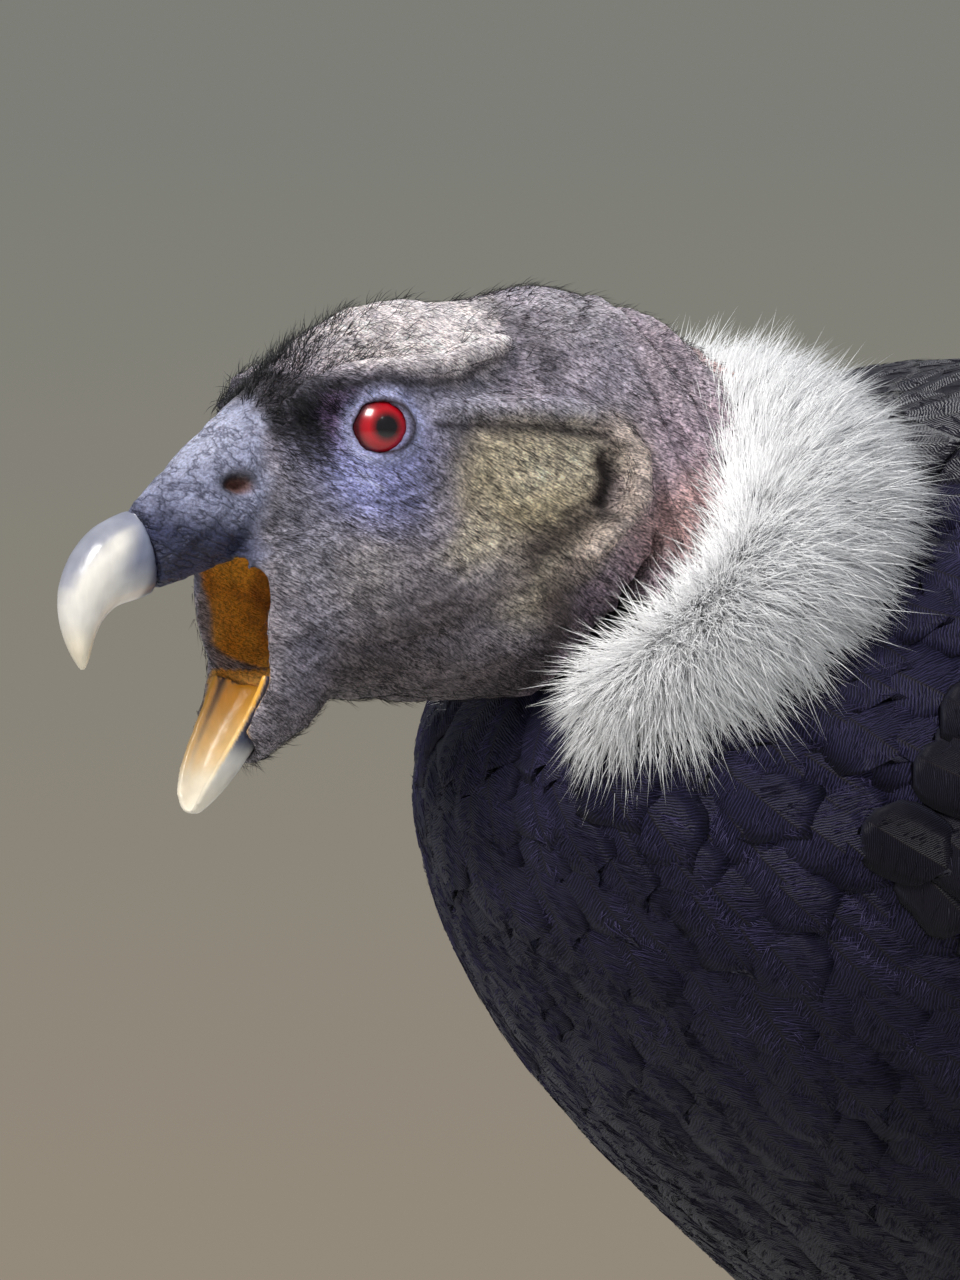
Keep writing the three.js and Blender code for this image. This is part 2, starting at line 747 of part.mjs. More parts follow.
function legNodes(side) {
  const name = sideName(side);
  const foot = place(LEG.foot, side);
  node("thigh_" + name, thighSolid(side).subtract(torsoGrown), LOOKS.plumage);
  const toes = Object.values(TOES);
  const pad = ball(PAD.radius, foot.clone().setZ(PAD.radius - SOLE), V(1, 1.05, 1), 10);
  const whole = union([...toes.map((toe) => toeSolid(foot, side, toe)), pad, shankSolid(side)])
    .trimByPlane([0, 0, 1], 0)
    .subtract(thighSolid(side, GROW));
  node("shank_" + name, whole.trimByPlane([0, 0, 1], PAD.top + GAP), LOOKS.leg);
  const clawsGrown = union(toes.map((toe) => clawSolid(foot, side, toe, GROW)));
  const below = whole.trimByPlane([0, 0, -1], -PAD.top).subtract(clawsGrown);
  node("foot_" + name, below, LOOKS.leg);
  for (const [toeName, toe] of Object.entries(TOES))
    node("claw_" + toeName + "_" + name, clawSolid(foot, side, toe), LOOKS.claw);
}

// Tail: twelve feathers in a closed fan, the middle pair on top
const TAIL = {
  root: [0, 226, 402],
  tip: [0, 540, 242],
  count: 12,
  rootStep: 4,
  tipStep: 13,
  width: 46,
  drop: 3,
  shorter: 6,
  bow: 14,
  tilt: -0.06,
};

// The fleshy base that the feathers grow out of
const TAIL_BASE = {
  places: [V(0, 216, 408), V(0, 250, 392), V(0, 285, 372)],
  radii: [30, 27, 12],
};

function tailSolid(grow = 0) {
  const feathers = Array.from({ length: TAIL.count }, (_, i) => {
    const k = i - (TAIL.count - 1) / 2;
    const drop = TAIL.drop * Math.abs(k);
    const root = V(k * TAIL.rootStep, TAIL.root[1], TAIL.root[2] - drop / 2);
    const tip = V(k * TAIL.tipStep, TAIL.tip[1] - Math.abs(k) * TAIL.shorter, TAIL.tip[2] - drop * 2);
    const ahead = tip.clone().sub(root).normalize();
    return blade({
      root,
      tip: tip.addScaledVector(ahead, 2 * grow),
      bow: V(0, TAIL.bow * 0.3, TAIL.bow),
      across: V(1, 0, TAIL.tilt * Math.sign(k)).normalize(),
      width: TAIL.width + 4 * grow,
      thick: FEATHER_THICK + 3 * grow,
    });
  });
  const radii = TAIL_BASE.radii.map((r) => r + grow);
  const base = limb(TAIL_BASE.places, radii, { steps: 6, sides: 12, flat: 0.7 });
  return union([...feathers, base]);
}

node("torso", torso, LOOKS.plumage);
for (const side of LEFT_RIGHT) legNodes(side);
const tailGrown = tailSolid(GROW);
node("tail", tailSolid().subtract(torsoGrown), LOOKS.plumage);
node("neck", headNodes().subtract(torsoGrown), LOOKS.skin);

const headGrown = inHead(union([neckSolid(GROW), skullSolid(GROW), cheekSolid(GROW)]));

const wings = {};
for (const side of LEFT_RIGHT) {
  const thigh = thighSolid(side, GROW);
  wings[side] = wingSolid(side)
    .subtract(union([torsoGrown, thigh, tailGrown]))
    .trimByPlane([side, 0, 0], GAP);
  node("wing_" + sideName(side), wings[side], LOOKS.plumage);
}
const besideCollar = union([torsoGrown, headGrown, wings[1], wings[-1]]);
const collar = union([collarCore(), ...collarLocks()]).subtract(besideCollar);
node("collar", collar, LOOKS.down);

// The origin is the middle of the model's box, on the floor.
const reach = new THREE.Box3().setFromObject(condor);
const middle = reach.getCenter(V());
condor.position.set(-middle.x, -middle.y, -reach.min.z);

export default condor;
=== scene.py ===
import math

import bpy
import numpy as np
from mathutils import Matrix, Vector


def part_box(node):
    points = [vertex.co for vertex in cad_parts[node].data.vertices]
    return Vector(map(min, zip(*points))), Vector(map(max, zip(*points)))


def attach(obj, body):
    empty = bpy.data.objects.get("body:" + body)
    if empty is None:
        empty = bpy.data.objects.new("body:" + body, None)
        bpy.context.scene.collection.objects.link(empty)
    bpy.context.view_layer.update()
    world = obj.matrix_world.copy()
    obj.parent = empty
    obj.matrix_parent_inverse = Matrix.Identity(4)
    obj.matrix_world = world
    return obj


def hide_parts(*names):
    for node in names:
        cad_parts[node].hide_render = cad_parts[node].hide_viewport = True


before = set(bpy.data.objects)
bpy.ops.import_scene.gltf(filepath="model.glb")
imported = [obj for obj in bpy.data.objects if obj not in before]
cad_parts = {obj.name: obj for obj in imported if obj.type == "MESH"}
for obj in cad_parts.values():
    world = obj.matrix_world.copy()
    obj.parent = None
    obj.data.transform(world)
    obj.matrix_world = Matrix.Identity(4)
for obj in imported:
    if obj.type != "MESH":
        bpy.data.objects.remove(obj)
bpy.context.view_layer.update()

# Head and neck skin
# One bare wrinkled skin covers head, jaw and neck. It is the CAD solids joined, remeshed and smoothed, then
# shaped by creases, folds and wrinkles and painted region by region.

# Tables are in millimetres. The head's frame is [side, forward, up] from midway between the eyes.
MM = 0.001


def centre_of(node):
    low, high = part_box(node)
    return (Vector(low) + Vector(high)) / 2


eye_left_at = centre_of("eye_left")
eye_right_at = centre_of("eye_right")
head_at = (eye_left_at + eye_right_at) / 2
head_side = (eye_left_at - eye_right_at).normalized()
head_up = Vector((0, 0, 1))
head_forward = head_side.cross(head_up)
HEAD_AXES = np.array([head_side, head_forward, head_up])
HEAD_AT = np.array(head_at)


def head_to_world(points):
    return np.asarray(points, float) * MM @ HEAD_AXES + HEAD_AT


def world_to_head(points):
    return (np.asarray(points, float) - HEAD_AT) @ HEAD_AXES.T / MM


def unit(v):
    return v / np.maximum(np.linalg.norm(v, axis=-1, keepdims=True), 1e-9)


# Objects and their points
def deselect():
    for o in bpy.context.selected_objects:
        o.select_set(False)


def only(obj):
    deselect()
    obj.select_set(True)
    bpy.context.view_layer.objects.active = obj


def mesh_object(name, points, faces, material):
    """faces is an array of triangles or of quads."""
    faces = np.asarray(faces, np.int32)
    corners = faces.shape[1]
    mesh = bpy.data.meshes.new(name)
    mesh.vertices.add(len(points))
    mesh.vertices.foreach_set("co", np.asarray(points, np.float32).ravel())
    mesh.loops.add(faces.size)
    mesh.loops.foreach_set("vertex_index", faces.ravel())
    mesh.polygons.add(len(faces))
    mesh.polygons.foreach_set("loop_start", np.arange(0, faces.size, corners, dtype=np.int32))
    mesh.update(calc_edges=True)
    mesh.validate()
    mesh.polygons.foreach_set("use_smooth", np.full(len(mesh.polygons), True))
    obj = bpy.data.objects.new(name, mesh)
    bpy.context.scene.collection.objects.link(obj)
    if material:
        mesh.materials.append(material)
    return obj


def joined_copy(name, nodes):
    """One object made of copies of CAD nodes."""
    deselect()
    copies = []
    for node in nodes:
        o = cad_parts[node].copy()
        o.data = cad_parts[node].data.copy()
        o.data.materials.clear()
        o.parent = None
        o.matrix_world = Matrix()
        bpy.context.scene.collection.objects.link(o)
        o.hide_set(False)
        o.hide_render = False
        o.select_set(True)
        copies.append(o)
    bpy.context.view_layer.objects.active = copies[0]
    if len(copies) > 1:
        bpy.ops.object.join()
    obj = bpy.context.view_layer.objects.active
    obj.name = name
    return obj


def apply_modifier(obj, kind, **settings):
    only(obj)
    modifier = obj.modifiers.new(kind.title(), kind)
    for key, value in settings.items():
        setattr(modifier, key, value)
    bpy.ops.object.modifier_apply(modifier=modifier.name)


def vertex_vectors(obj, kind):
    flat = np.empty(len(obj.data.vertices) * 3, np.float32)
    obj.data.vertices.foreach_get(kind, flat)
    return flat.reshape(-1, 3).astype(float)


def points_of(obj):
    return vertex_vectors(obj, "co")


def normals_of(obj):
    return vertex_vectors(obj, "normal")


def set_points(obj, points):
    obj.data.vertices.foreach_set("co", np.asarray(points, np.float32).ravel())
    obj.data.update()


def shade_smooth(obj):
    obj.data.polygons.foreach_set("use_smooth", np.full(len(obj.data.polygons), True))


def paint(obj, name, colours):
    layer = obj.data.color_attributes.new(name, "FLOAT_COLOR", "POINT")
    rgba = np.ones((len(colours), 4), np.float32)
    rgba[:, :3] = colours
    layer.data.foreach_set("color", rgba.ravel())


def add_attribute(obj, name, values):
    """One number or one vector for every point."""
    kind, field = ("FLOAT_VECTOR", "vector") if np.ndim(values) == 2 else ("FLOAT", "value")
    layer = obj.data.attributes.new(name, kind, "POINT")
    layer.data.foreach_set(field, np.asarray(values, np.float32).ravel())


def coat_of_paint(base, count):
    """A colour for each of count points, and a function that lays a tint over them by its share at each."""
    colour = np.tile(np.array(base), (count, 1))

    def lay(tint, share):
        share = np.clip(share, 0, 1)[:, None]
        colour[:] = colour * (1 - share) + np.array(tint) * share

    return colour, lay


# Smooth steps and distances for the painted and shaped regions
def smooth_step(low, high, x):
    t = np.clip((x - low) / (high - low), 0, 1)
    return t * t * (3 - 2 * t)


def bell(x, width):
    return np.exp(-((x / width) ** 2))


def line_distance(p, line):
    """Distance of each point (forward, up) from a polyline, and the line's share at its nearest point."""
    line = np.asarray(line, float)
    best = np.full(len(p), 1e9)
    share = np.zeros(len(p))
    for i in range(len(line) - 1):
        a, b = line[i], line[i + 1]
        ab = b - a
        t = np.clip(((p - a) @ ab) / (ab @ ab), 0, 1)
        d = np.linalg.norm(p - (a + t[:, None] * ab), axis=1)
        closer = d < best
        best = np.where(closer, d, best)
        share = np.where(closer, (i + t) / (len(line) - 1), share)
    return best, share


def value_noise(p, scale, seed=0):
    """Smooth noise from -1 to 1 at 3D points."""
    q = np.asarray(p) * scale + seed * 17.31
    cell = np.floor(q).astype(np.int64)
    f = q - cell
    f = f * f * (3 - 2 * f)

    def corner(dx, dy, dz):
        n = (cell[:, 0] + dx) * 374761393 + (cell[:, 1] + dy) * 668265263 + (cell[:, 2] + dz) * 2147483647
        n = (n ^ (n >> 13)) * 1274126177
        return ((n ^ (n >> 16)) & 0xFFFF) / 32767.5 - 1

    def along_x(dy, dz):
        return corner(0, dy, dz) * (1 - f[:, 0]) + corner(1, dy, dz) * f[:, 0]

    def along_y(dz):
        return along_x(0, dz) * (1 - f[:, 1]) + along_x(1, dz) * f[:, 1]

    return along_y(0) * (1 - f[:, 2]) + along_y(1) * f[:, 2]


# Materials
def new_material(name, colour, roughness=0.6, **inputs):
    m = bpy.data.materials.new(name)
    m.use_nodes = True
    shader = m.node_tree.nodes["Principled BSDF"]
    shader.inputs["Base Color"].default_value = (*colour, 1)
    shader.inputs["Roughness"].default_value = roughness
    for key, value in inputs.items():
        shader.inputs[key.replace("_", " ")].default_value = value
    return m


class Shade:
    """Short words for a material's node tree."""

    def __init__(self, material):
        self.tree = material.node_tree
        self.shader = self.tree.nodes["Principled BSDF"]

    def node(self, kind, **settings):
        n = self.tree.nodes.new(kind)
        for key, value in settings.items():
            setattr(n, key, value)
        return n

    def link(self, a, b):
        self.tree.links.new(a, b)

    def math(self, operation, a, b=0.0):
        n = self.node("ShaderNodeMath", operation=operation)
        for slot, value in zip(n.inputs, (a, b)):
            if isinstance(value, (int, float)):
                slot.default_value = value
            else:
                self.link(value, slot)
        return n.outputs[0]

    def ramp(self, value, stops):
        n = self.node("ShaderNodeValToRGB")
        while len(n.color_ramp.elements) < len(stops):
            n.color_ramp.elements.new(0.5)
        for element, (place, colour) in zip(n.color_ramp.elements, stops):
            element.position = place
            element.color = (*colour, 1)
        self.link(value, n.inputs[0])
        return n.outputs[0]

    def mix(self, share, a, b, kind="MIX"):
        n = self.node("ShaderNodeMix", data_type="RGBA", blend_type=kind)
        for slot, value in ((n.inputs[0], share), (n.inputs[6], a), (n.inputs[7], b)):
            if isinstance(value, (int, float)):
                slot.default_value = value
            elif isinstance(value, tuple):
                slot.default_value = (*value, 1)
            else:
                self.link(value, slot)
        return n.outputs[2]

    def noise_at(self, place, scale, detail, roughness):
        n = self.node("ShaderNodeTexNoise")
        n.inputs["Scale"].default_value = scale
        n.inputs["Detail"].default_value = detail
        n.inputs["Roughness"].default_value = roughness
        self.link(place, n.inputs["Vector"])
        return n.outputs[0]

    def noise(self, scale, detail, stretch=None):
        """Noise in the object's own metres."""
        place = self.node("ShaderNodeTexCoord").outputs["Object"]
        if stretch:
            mapping = self.node("ShaderNodeMapping")
            mapping.inputs["Scale"].default_value = stretch
            self.link(place, mapping.inputs[0])
            place = mapping.outputs[0]
        return self.noise_at(place, scale, detail, 0.55)

    def noise_on(self, attribute, detail, roughness):
        """Noise on a vector attribute of the mesh."""
        place = self.node("ShaderNodeAttribute", attribute_name=attribute).outputs["Vector"]
        return self.noise_at(place, 1.0, detail, roughness)

    def bump(self, height, strength, distance):
        n = self.node("ShaderNodeBump")
        n.inputs["Strength"].default_value = strength
        n.inputs["Distance"].default_value = distance
        self.link(height, n.inputs["Height"])
        self.link(n.outputs[0], self.shader.inputs["Normal"])


# The skin's material: its painted colour, with speckle that is partly random tone and partly painted glints,
# blotches, streaks of hair and the cere's wrinkles.
skin_material = new_material("bare skin", (0.5, 0.45, 0.48), 0.5)
shade = Shade(skin_material)
painted = shade.node("ShaderNodeVertexColor", layer_name="skin_colour").outputs[0]
# Speckle: random light and dark flecks. The light ones are painted glints of light on the wrinkled skin.
speckle_and_glints = shade.ramp(
    shade.noise(1400, 6), [(0.36, (0.62, 0.61, 0.64)), (0.5, (1.0, 1.0, 1.0)), (0.66, (1.4, 1.4, 1.4))]
)
blotch = shade.ramp(shade.noise(160, 4), [(0.3, (0.78, 0.78, 0.80)), (0.7, (1.15, 1.13, 1.10))])
streak = shade.noise_on("lie", 5, 0.65)
hairs = shade.ramp(
    streak, [(0.36, (0.16, 0.15, 0.17)), (0.50, (0.95, 0.95, 0.95)), (0.64, (1.6, 1.58, 1.55))]
)
cover = shade.node("ShaderNodeAttribute", attribute_name="streaks").outputs["Fac"]
streaked = shade.mix(cover, painted, shade.mix(1.0, painted, hairs, "MULTIPLY"))
# The cere's wrinkles: long creases that fan forwards from the corner of the mouth, with painted shade as a
# thin dark line along the bottom of each.
crease = shade.noise_on("creases", 3, 0.6)
crease_cover = shade.node("ShaderNodeAttribute", attribute_name="cere").outputs["Fac"]
ridges = shade.math("ABSOLUTE", shade.math("SUBTRACT", crease, 0.5))
crease_shade = shade.ramp(
    ridges, [(0.0, (0.30, 0.30, 0.34)), (0.035, (0.92, 0.92, 0.94)), (0.16, (1.15, 1.15, 1.16))]
)
wrinkled = shade.mix(crease_cover, streaked, shade.mix(1.0, streaked, crease_shade, "MULTIPLY"))
skin_colour = shade.mix(1.0, shade.mix(1.0, wrinkled, speckle_and_glints, "MULTIPLY"), blotch, "MULTIPLY")
shade.link(skin_colour, shade.shader.inputs["Base Color"])
pores = shade.math("ADD", shade.noise(1400, 5), shade.math("MULTIPLY", streak, 1.6))
steep = shade.math("MINIMUM", shade.math("MULTIPLY", ridges, 12.0), 1.0)
deep = shade.math("MULTIPLY", steep, crease_cover)
shade.bump(shade.math("ADD", pores, shade.math("MULTIPLY", deep, 1.4)), 0.8, 0.0009)
shade.shader.inputs["Subsurface Weight"].default_value = 0.08
shade.shader.inputs["Subsurface Radius"].default_value = (0.003, 0.0015, 0.001)

# Creases and ridges as points (forward, up), and the CAD model's levels of mouth and cheek, which it lists as
# [forward edge, back edge, up, half width].
BROW_CREASE = [(26, 6), (14, 9.5), (3, 11), (-6, 10), (-20, 12), (-32, 17)]
BROW_RIDGE = [(24, 9), (14, 13), (2, 15), (-9, 14.5), (-22, 18), (-34, 22)]
EYE_CREASE = [(-10, 1), (-22, 0.5), (-40, 0), (-55, -2)]
TEMPLE_RIDGE = [(-9, 6), (-24, 6.5), (-40, 6), (-54, 3)]
EAR_RIM = [(-57, 0), (-62.5, -6), (-62.5, -15), (-58, -24), (-52, -32)]
EAR_HOLLOW = [(-54, -6), (-57, -12), (-55, -20)]
MOUTH_LEVELS = np.array([
    [31, 8, -28.5, 6], [38, 3, -33, 12.5], [58, 0, -40.5, 17.5], [66, 4, -47, 17], [66, 10, -55, 14.2],
    [66, 18, -62, 12.6], [68, 24, -69, 11.2],
])
CHEEK_LEVELS = np.array([
    [25, -62, -18, 24], [36, -66, -30, 26.5], [41, -68, -42, 26], [40, -68, -52, 22.5],
    [33, -66, -59, 15.5],
])
JAW_CREASE = [(24, -50), (8, -52), (-14, -50), (-34, -44), (-52, -38)]
CHEEK_CREASE = [(22, -20), (14, -30), (6, -40), (2, -52)]
# The eyes look this many degrees ahead of straight out to the side.
EYE_TURN = 15
EYE_SIDE = 18.2


def gape_lift(head):
    """The gape reaches higher in front of its corner."""
    near_gape = np.exp(-((head[:, 1] - 27) / 11) ** 2 - ((head[:, 2] + 38) / 9) ** 2)
    return 5.5 * near_gape * smooth_step(5, 10, np.abs(head[:, 0])) * smooth_step(-52, -46, head[:, 2])


def shape_skin(obj):
    points = points_of(obj)
    head = world_to_head(points)
    # The lids are turned about the balls towards the bill.
    for way in (1, -1):
        local = head - np.array([way * EYE_SIDE, 0, 0])
        reach = np.linalg.norm(local, axis=1)
        turn = np.radians(EYE_TURN) * (1 - smooth_step(11, 22, reach)) * (head[:, 0] * way > 0) * way
        c, n = np.cos(turn), np.sin(turn)
        moved_side = local[:, 0] * (c - 1) - local[:, 1] * n
        moved_forward = local[:, 1] * (c - 1) + local[:, 0] * n
        head = head + np.stack([moved_side, moved_forward, np.zeros(len(head))], -1)
    head[:, 2] += gape_lift(head)
    points = head_to_world(head)
    set_points(obj, points)
    side, forward, up = head.T
    flat = np.stack([forward, up], 1)
    on_side = smooth_step(8, 18, np.abs(side))
    wander = value_noise(head, 0.09, 3)[:, None] * np.array([1.2, 1.2])
    lift = np.zeros(len(points))

    def groove(line, depth, width, mask=on_side, ends=0.08):
        d, share = line_distance(flat + wander, line)
        fade = smooth_step(0, ends, share) * smooth_step(0, ends, 1 - share)
        return -depth * bell(d, width) * mask * fade

    lift += groove(BROW_CREASE, 1.4, 1.6)
    lift += groove(BROW_RIDGE, -1.2, 3.6)
    lift += groove(EYE_CREASE, 1.1, 1.2)
    lift += groove(TEMPLE_RIDGE, -1.0, 2.6)
    lift += groove(EAR_RIM, -2.0, 2.2)
    lift += groove(EAR_HOLLOW, 3.2, 3.2)
    lift += groove(JAW_CREASE, 1.5, 1.7)
    lift += groove(CHEEK_CREASE, 1.1, 1.5)
    # The cere is set off by a step and crossed by fine slanting wrinkles.
    cere = smooth_step(24, 30, forward) * (1 - smooth_step(52, 60, forward)) * smooth_step(-34, -26, up)
    wrinkle = np.sin((forward * 0.75 + up * 0.55) * 1.05 + value_noise(head, 0.12, 5) * 2.2)
    lift += cere * (0.34 * wrinkle + 0.5)
    # Cheek and throat: fine crossed wrinkles that run down and back.
    cheek = smooth_step(-5, -16, up) * (1 - smooth_step(18, 26, forward)) * smooth_step(-75, -60, forward)
    fine = np.sin((up * 1.0 + forward * 0.35) * 1.25 + value_noise(head, 0.1, 6) * 3.0)
    lift += cheek * 0.34 * fine * (0.6 + 0.4 * value_noise(head, 0.15, 8))
    # Neck: deep soft folds that circle it, closer together towards the throat.
    neck = smooth_step(-58, -74, forward)
    folds = np.sin((forward * 0.62 - up * 0.22) + value_noise(head, 0.05, 9) * 2.4)
    lift += neck * (1.5 * folds + 0.5 * np.sin(forward * 1.7 - up * 0.6 + value_noise(head, 0.09, 10) * 3))
    # Crown: shallow dents and pimples.
    crown = smooth_step(6, 18, up)
    lift += crown * (0.5 * value_noise(head, 0.16, 11) + 0.22 * value_noise(head, 0.45, 12))
    lift += 0.35 * value_noise(head, 0.22, 13) + 0.16 * value_noise(head, 0.6, 14)
    # Rings round the eye.
    eye = np.hypot(forward, up)
    near_eye = on_side * (1 - smooth_step(17, 24, eye)) * smooth_step(8.5, 10, eye)
    lift += near_eye * 0.3 * np.sin(eye * 1.9 + value_noise(head, 0.2, 15) * 1.5)
    set_points(obj, points + normals_of(obj) * (lift * MM)[:, None])


# Colours of the head, from the crown down to the mouth
CROWN = (0.66, 0.60, 0.60)
FOREHEAD = (0.07, 0.065, 0.08)
NAPE = (0.31, 0.28, 0.34)
NAPE_SHADOW = (0.10, 0.09, 0.11)
NAPE_PALE = (0.36, 0.33, 0.37)
LORE = (0.018, 0.017, 0.024)
EYE_SKIN = (0.22, 0.225, 0.42)
EYE_BLUE = (0.36, 0.38, 0.72)
EYE_PURPLE = (0.30, 0.14, 0.32)
LID_RING = (0.42, 0.44, 0.70)
LID_RIM = (0.03, 0.02, 0.03)
EYE_FOLD_SHADE = (0.04, 0.03, 0.04)
BROW_FOLD_SHADE = (0.05, 0.045, 0.055)
TEMPLE = (0.36, 0.36, 0.48)
FACE = (0.21, 0.19, 0.215)
CHEEK_FRONT = (0.20, 0.205, 0.27)
GAPE_CORNER = (0.29, 0.27, 0.27)
CHIN = (0.20, 0.19, 0.25)
OLIVE = (0.46, 0.39, 0.25)
PALE = (0.64, 0.57, 0.43)
BROWN = (0.06, 0.042, 0.042)
NECK = (0.36, 0.29, 0.35)
NECK_TOP = (0.33, 0.29, 0.33)
NECK_WARM = (0.55, 0.30, 0.23)
EAR = (0.52, 0.43, 0.38)
EAR_HOLLOW_SHADE = (0.02, 0.015, 0.016)
CERE = (0.24, 0.255, 0.37)
CERE_HIGHLIGHT = (0.44, 0.46, 0.60)
CERE_LOW = (0.028, 0.032, 0.075)
NOSTRIL_SHADE = (0.012, 0.008, 0.012)
NOSTRIL_INSIDE = (0.16, 0.075, 0.06)
MOUTH = (0.86, 0.42, 0.045)
MOUTH_MOTTLE_AND_SHADE = (0.30, 0.085, 0.012)
MOUTH_PALE = (0.88, 0.66, 0.36)


def paint_skin(obj):
    """Paints the skin and returns how far each point belongs to the mouth's lining."""
    points = points_of(obj)
    head = world_to_head(points)
    side, forward, up = head.T
    head_n = normals_of(obj) @ HEAD_AXES.T
    near = smooth_step(8, 18, np.abs(side))
    drift = 3.0 * value_noise(head, 0.10, 21) + 1.6 * value_noise(head, 0.3, 22)
    # Streaks of fine hair run back and a little down over face and neck.
    along = -0.88 * forward - 0.47 * up
    across = 0.88 * up - 0.47 * forward + 1.5 * value_noise(head, 0.06, 25)
    streak = value_noise(np.stack([along * 0.22, across * 1.1, side * 0.3], -1), 1.0, 26)
    streak += 0.6 * value_noise(np.stack([along * 0.5, across * 2.4, side * 0.5], -1), 1.0, 27)
    add_attribute(obj, "lie", np.stack([along * 0.55, across * 3.0, side * 0.8], -1))
    # Creases of the cere run along lines that fan out from the corner of the mouth.
    fan = np.arctan2(up + 34, forward - 16)
    gape_away = np.hypot(up + 34, forward - 16)
    add_attribute(obj, "creases", np.stack([fan * 7.0, gape_away * 0.10, side * 0.10], -1))
    colour, lay = coat_of_paint(FACE, len(points))

    def spot(at_forward, at_up, reach_forward, reach_up, tilt=0.0):
        """A soft oval region of the face. tilt turns its long side, in degrees."""
        df = forward + drift * 0.7 - at_forward
        du = up + drift * 0.7 - at_up
        c, n = math.cos(math.radians(tilt)), math.sin(math.radians(tilt))
        away = ((df * c + du * n) / reach_forward) ** 2 + ((du * c - df * n) / reach_up) ** 2
        return np.exp(-(away ** 1.4))

    # Face: lavender round the eye, olive and pale behind it, brown bands below
    lay(EYE_SKIN, 0.95 * spot(0, -5, 22, 16, 12) * near)
    lay(EYE_BLUE, 0.9 * spot(3, -12, 13, 10) * near)
    lay(EYE_PURPLE, 0.55 * spot(12, 3, 5, 6) * near)
    lay(TEMPLE, 0.85 * spot(-30, 6, 26, 6) * near)
    lay(OLIVE, 0.95 * spot(-36, -14, 24, 16, 20) * near)
    lay(PALE, 0.95 * spot(-43, -8, 16, 7, -8) * near)
    lay(PALE, 0.6 * spot(-22, -27, 9, 7, -30) * near)
    lay(PALE, 0.75 * spot(-41, -37, 12, 7, -35) * near)
    lay(BROWN, 0.75 * spot(-44, -27, 22, 3.6, -38) * near)
    lay(BROWN, 0.6 * spot(-10, -46, 22, 6, -12))
    lay(BROWN, 0.85 * spot(-48, -44, 9, 13, -25) * near)
    lay(BROWN, 0.7 * smooth_step(-48, -58, up + drift) * smooth_step(24, 4, forward))
    lay(GAPE_CORNER, 0.6 * spot(8, -34, 12, 9) * near)
    lay(CHIN, 0.7 * spot(19, -52, 7, 14) * near)
    # Crown: a pale cap with a sharp rear edge over the mauve nape
    nape = smooth_step(-30, -38, forward + 0.55 * (up - 20) + drift * 0.4)
    lay(NAPE, smooth_step(9, 14, up + drift * 0.5) * (1 - smooth_step(22, 30, forward)))
    cap = smooth_step(9.5, 15.5, up + drift * 0.6) * (1 - smooth_step(0, 22, forward + drift * 1.5))
    cap = cap * (1 - nape)
    lay(CROWN, cap * (0.8 + 0.2 * value_noise(head, 0.25, 30)))
    lay(NAPE, nape * smooth_step(3, 9, up + drift * 0.5))
    # A painted shadow: a dark band where the nape swells up behind the pale cap.
    lay(NAPE_SHADOW, 0.8 * spot(-40, 21, 4.5, 13, -22))
    lay(NAPE_PALE, 0.55 * spot(-52, 26, 12, 6))
    # Neck
    lay(NECK, smooth_step(-57, -66, forward + drift + 0.25 * (up + 10)))
    lay(NECK_TOP, 0.6 * smooth_step(-60, -70, forward) * smooth_step(-4, 12, up + 2 * drift))
    lay(NECK_WARM, smooth_step(-86, -108, forward - 0.2 * up + drift * 2.5) * 0.9)
    lay(NECK_WARM, 0.5 * spot(-74, -22, 9, 14, 30) * near)
    rim, _ = line_distance(np.stack([forward, up], 1), EAR_RIM)
    lay(EAR, bell(rim, 4.2) * near * 0.9)
    # Painted shade: near black in the hollow behind the ear's rim.
    hollow, _ = line_distance(np.stack([forward, up], 1), EAR_HOLLOW)
    lay(EAR_HOLLOW_SHADE, bell(hollow, 2.8) * near * 0.95)
    # Painted shade: dark lines along the eye's crease and the brow's crease.
    crease, _ = line_distance(np.stack([forward, up], 1) + drift[:, None] * 0.15, EYE_CREASE)
    lay(EYE_FOLD_SHADE, bell(crease, 1.0) * near * 0.75)
    crease, _ = line_distance(np.stack([forward, up], 1) + drift[:, None] * 0.15, BROW_CREASE[1:])
    lay(BROW_FOLD_SHADE, bell(crease, 1.3) * near * 0.8)
    # Cere and lore
    cere = smooth_step(23.5, 29.5, forward + drift * 0.8 + 0.10 * up) * smooth_step(-41, -37, up)
    lay(CERE, cere)
    # A painted highlight on the upper cere.
    lay(CERE_HIGHLIGHT, 0.8 * cere * spot(36, 0, 14, 8, -40))
    lay(CERE_LOW, cere * smooth_step(-17, -27, up + drift * 0.6 - 0.2 * (forward - 40)))
    beak_side = smooth_step(6, 9, np.abs(side))
    # The nostril is painted on the smooth skin: painted shade for its dark opening, with its brown inside
    # below.
    nostril = np.exp(-(((forward - 35 + 0.3 * (up + 13)) / 4.2) ** 2 + ((up + 13) / 3.3) ** 2) ** 2)
    lay(NOSTRIL_SHADE, nostril * beak_side)
    brown = np.exp(-(((forward - 34.2) / 2.5) ** 2 + ((up + 14.2) / 1.7) ** 2) ** 2)
    lay(NOSTRIL_INSIDE, 0.9 * brown * beak_side)
    lore = smooth_step(13, 20, forward + drift) * (1 - smooth_step(25.5, 28.5, forward + 0.10 * up))
    lay(LORE, lore * smooth_step(-14, -2, up + drift * 1.5) * 0.85)
    lay(CHEEK_FRONT, 0.6 * spot(20, -24, 9, 14) * near)
    forehead = smooth_step(2, 18, forward + drift) * (1 - smooth_step(22, 28, forward))
    forehead = forehead * smooth_step(15, 22, up)
    lay(FOREHEAD, 0.75 * forehead)
    # Lids: a dark rim on the ball, then a pale blue ring
    eye = np.hypot(forward - 1.7, up)
    lay(LID_RING, bell(eye - 8.0, 1.4) * near * 0.9)
    lay(LID_RIM, bell(eye - 6.0, 0.8) * near)
